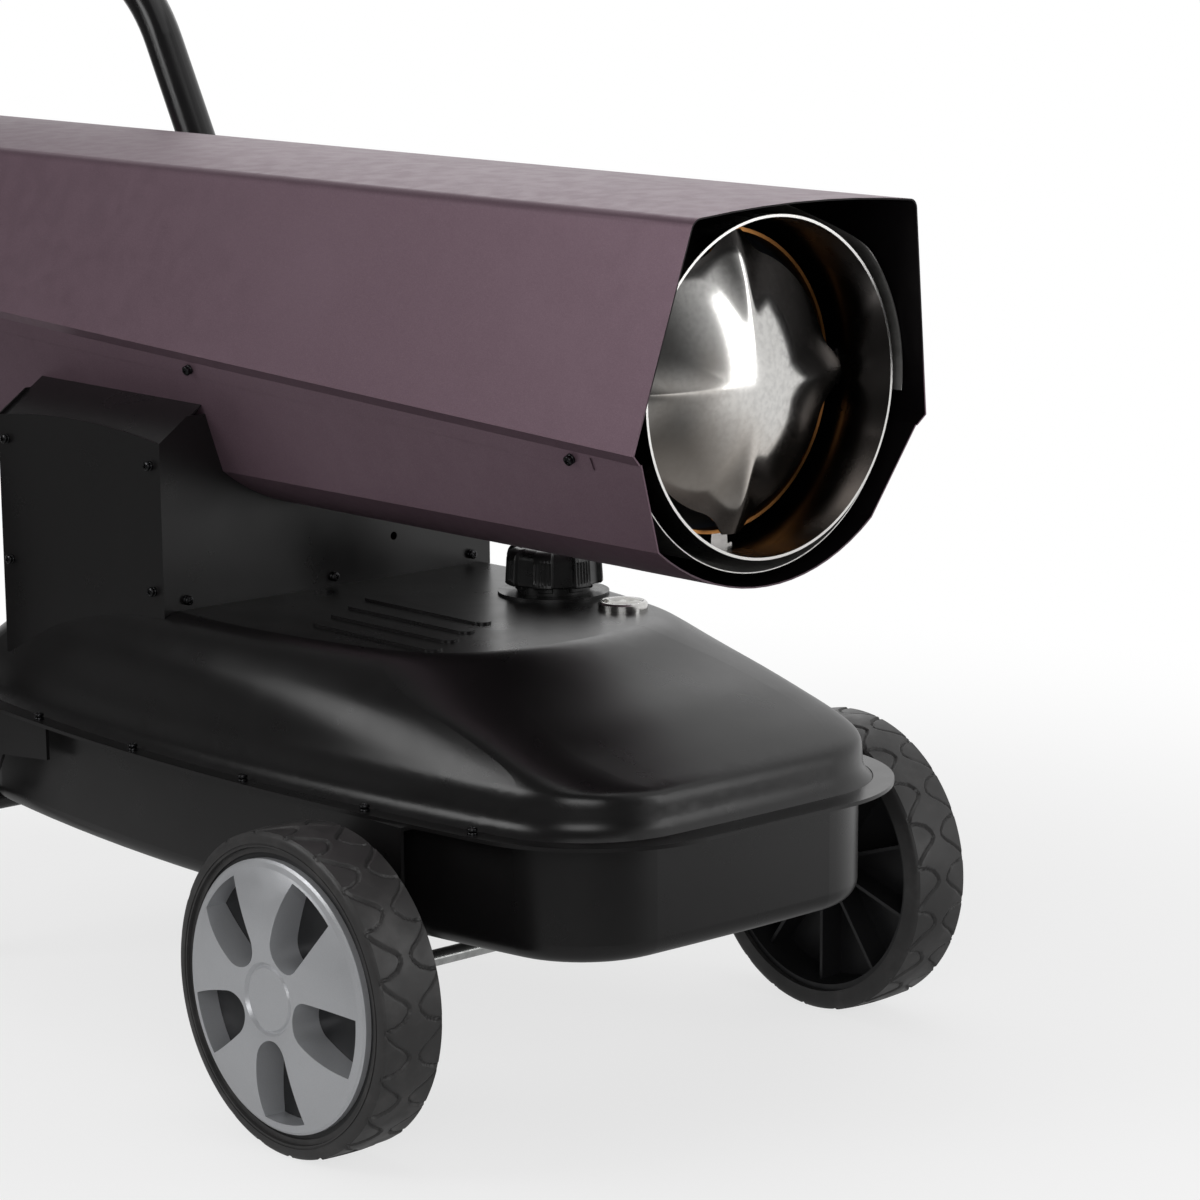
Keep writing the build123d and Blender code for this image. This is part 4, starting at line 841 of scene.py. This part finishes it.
def floor():
    """Pale floor that keeps a soft shadow near the heater and turns plain white away from it.

    Glossy surfaces mirror it as a grey floor that is bright only far out on the far side.
    """
    mesh = bpy.data.meshes.new("floor")
    reach = FLOOR_REACH
    corners = [(-reach, -reach, 0), (reach, -reach, 0), (reach, reach, 0), (-reach, reach, 0)]
    mesh.from_pydata(corners, [], [(0, 1, 2, 3)])
    plane = bpy.data.objects.new("floor", mesh)
    bpy.context.collection.objects.link(plane)
    look = Look("floor", (0.86, 0.86, 0.86, 1), Roughness=0.9)
    glow = look.tree.nodes.new("ShaderNodeEmission")
    glow.inputs["Color"].default_value = (1, 1, 1, 1)
    away = look.span(look.distance(), *SEEN_FADE)
    path = look.tree.nodes.new("ShaderNodeLightPath")
    seen = look.math("MAXIMUM", path.outputs["Is Camera Ray"], path.outputs["Is Transmission Ray"])
    near = look.span(look.distance(), *MIRRORED_NEAR)
    level = look.math("MAXIMUM", near, look.span(look.axis("Y"), *MIRRORED_FAR_SIDE))
    mirrored = path.outputs["Is Glossy Ray"]
    direct = look.math("SUBTRACT", 1.0, mirrored)
    look.link(look.math("MAXIMUM", direct, level), glow.inputs["Strength"])
    share = look.math("MAXIMUM", look.math("MULTIPLY", seen, away), mirrored)
    blend = look.tree.nodes.new("ShaderNodeMixShader")
    look.link(share, blend.inputs[0])
    look.link(look.shader.outputs[0], blend.inputs[1])
    look.link(glow.outputs[0], blend.inputs[2])
    look.link(blend.outputs[0], look.out.inputs["Surface"])
    mesh.materials.append(look.material)


# what glossy surfaces mirror: a studio that is white beyond the heater's far side, and dark on its near side
WHITE_SIDE = Vector((-0.09, 0.97, 0.22)).normalized()
DARK_SIDE, BRIGHT_SIDE = 0.05, 0.80
RAMP_START, RAMP_END = -0.1, 0.75
FILL_LEVEL = 0.30


def world():
    """White to the eye; an even fill for dull surfaces; a ramp from dark to white for glossy ones."""
    studio = bpy.data.worlds.new("studio")
    bpy.context.scene.world = studio
    studio.use_nodes = True
    tree = studio.node_tree
    tree.nodes.clear()
    out = tree.nodes.new("ShaderNodeOutputWorld")

    def background(strength):
        node = tree.nodes.new("ShaderNodeBackground")
        node.inputs["Color"].default_value = (1, 1, 1, 1)
        node.inputs["Strength"].default_value = strength
        return node

    def blend(factor, a, b):
        node = tree.nodes.new("ShaderNodeMixShader")
        for socket, source in zip(node.inputs, (factor, a, b)):
            tree.links.new(source, socket)
        return node.outputs[0]

    fill, white, mirrored = background(FILL_LEVEL), background(1.0), background(0.0)
    place = tree.nodes.new("ShaderNodeTexCoord")
    dot = tree.nodes.new("ShaderNodeVectorMath")
    dot.operation = "DOT_PRODUCT"
    tree.links.new(place.outputs["Generated"], dot.inputs[0])
    dot.inputs[1].default_value = WHITE_SIDE
    ramp = tree.nodes.new("ShaderNodeMapRange")
    ramp.interpolation_type = "SMOOTHSTEP"
    tree.links.new(dot.outputs["Value"], ramp.inputs["Value"])
    set_range(ramp, RAMP_START, RAMP_END, DARK_SIDE, BRIGHT_SIDE)
    tree.links.new(ramp.outputs["Result"], mirrored.inputs["Strength"])
    path = tree.nodes.new("ShaderNodeLightPath")
    lit = blend(path.outputs["Is Glossy Ray"], fill.outputs[0], mirrored.outputs[0])
    seen = tree.nodes.new("ShaderNodeMath")
    seen.operation = "MAXIMUM"
    tree.links.new(path.outputs["Is Camera Ray"], seen.inputs[0])
    tree.links.new(path.outputs["Is Transmission Ray"], seen.inputs[1])
    tree.links.new(blend(seen.outputs[0], lit, white.outputs[0]), out.inputs["Surface"])


def softbox(name, place, aim, width, height, watts):
    lamp = bpy.data.lights.new(name, "AREA")
    lamp.shape = "RECTANGLE"
    lamp.size = width
    lamp.size_y = height
    lamp.energy = watts
    thing = bpy.data.objects.new(name, lamp)
    thing.location = place
    way = Vector(aim) - Vector(place)
    thing.rotation_euler = way.to_track_quat("-Z", "Y").to_euler()
    bpy.context.collection.objects.link(thing)


def lights():
    middle = (0.15, 0.0, 0.5)
    softbox("overhead", (0.35, 0.2, 2.7), (0.2, 0.0, 0.5), 2.4, 1.5, 8.0)
    softbox("outlet_side", (2.5, 1.35, 1.05), (0.5, 0.0, 0.55), 0.7, 1.6, 7.5)
    softbox("near_side", (-1.4, -3.2, 2.1), middle, 1.8, 1.6, 34.0)
    softbox("camera_side", (2.9, -2.7, 1.5), middle, 2.2, 1.6, 30.0)
    softbox("behind", (-1.9, 2.2, 1.9), middle, 1.6, 1.4, 5.0)


CAMERA_PLACE = (2.5852, -2.0024, 0.9635)
CAMERA_PITCH = 76.288
CAMERA_YAW = 46.389
CAMERA_LENS = 118.11
CAMERA_SHIFT = (-0.0813, 0.1559)


def camera():
    lens = bpy.data.cameras.new("camera")
    lens.sensor_width = 36.0
    lens.lens = CAMERA_LENS
    lens.shift_x, lens.shift_y = CAMERA_SHIFT
    lens.clip_end = 100.0
    stand = bpy.data.objects.new("camera", lens)
    stand.location = CAMERA_PLACE
    stand.rotation_euler = (math.radians(CAMERA_PITCH), 0, math.radians(CAMERA_YAW))
    bpy.context.collection.objects.link(stand)
    bpy.context.scene.camera = stand


floor()
world()
lights()
camera()
bpy.context.scene.view_settings.view_transform = "Standard"
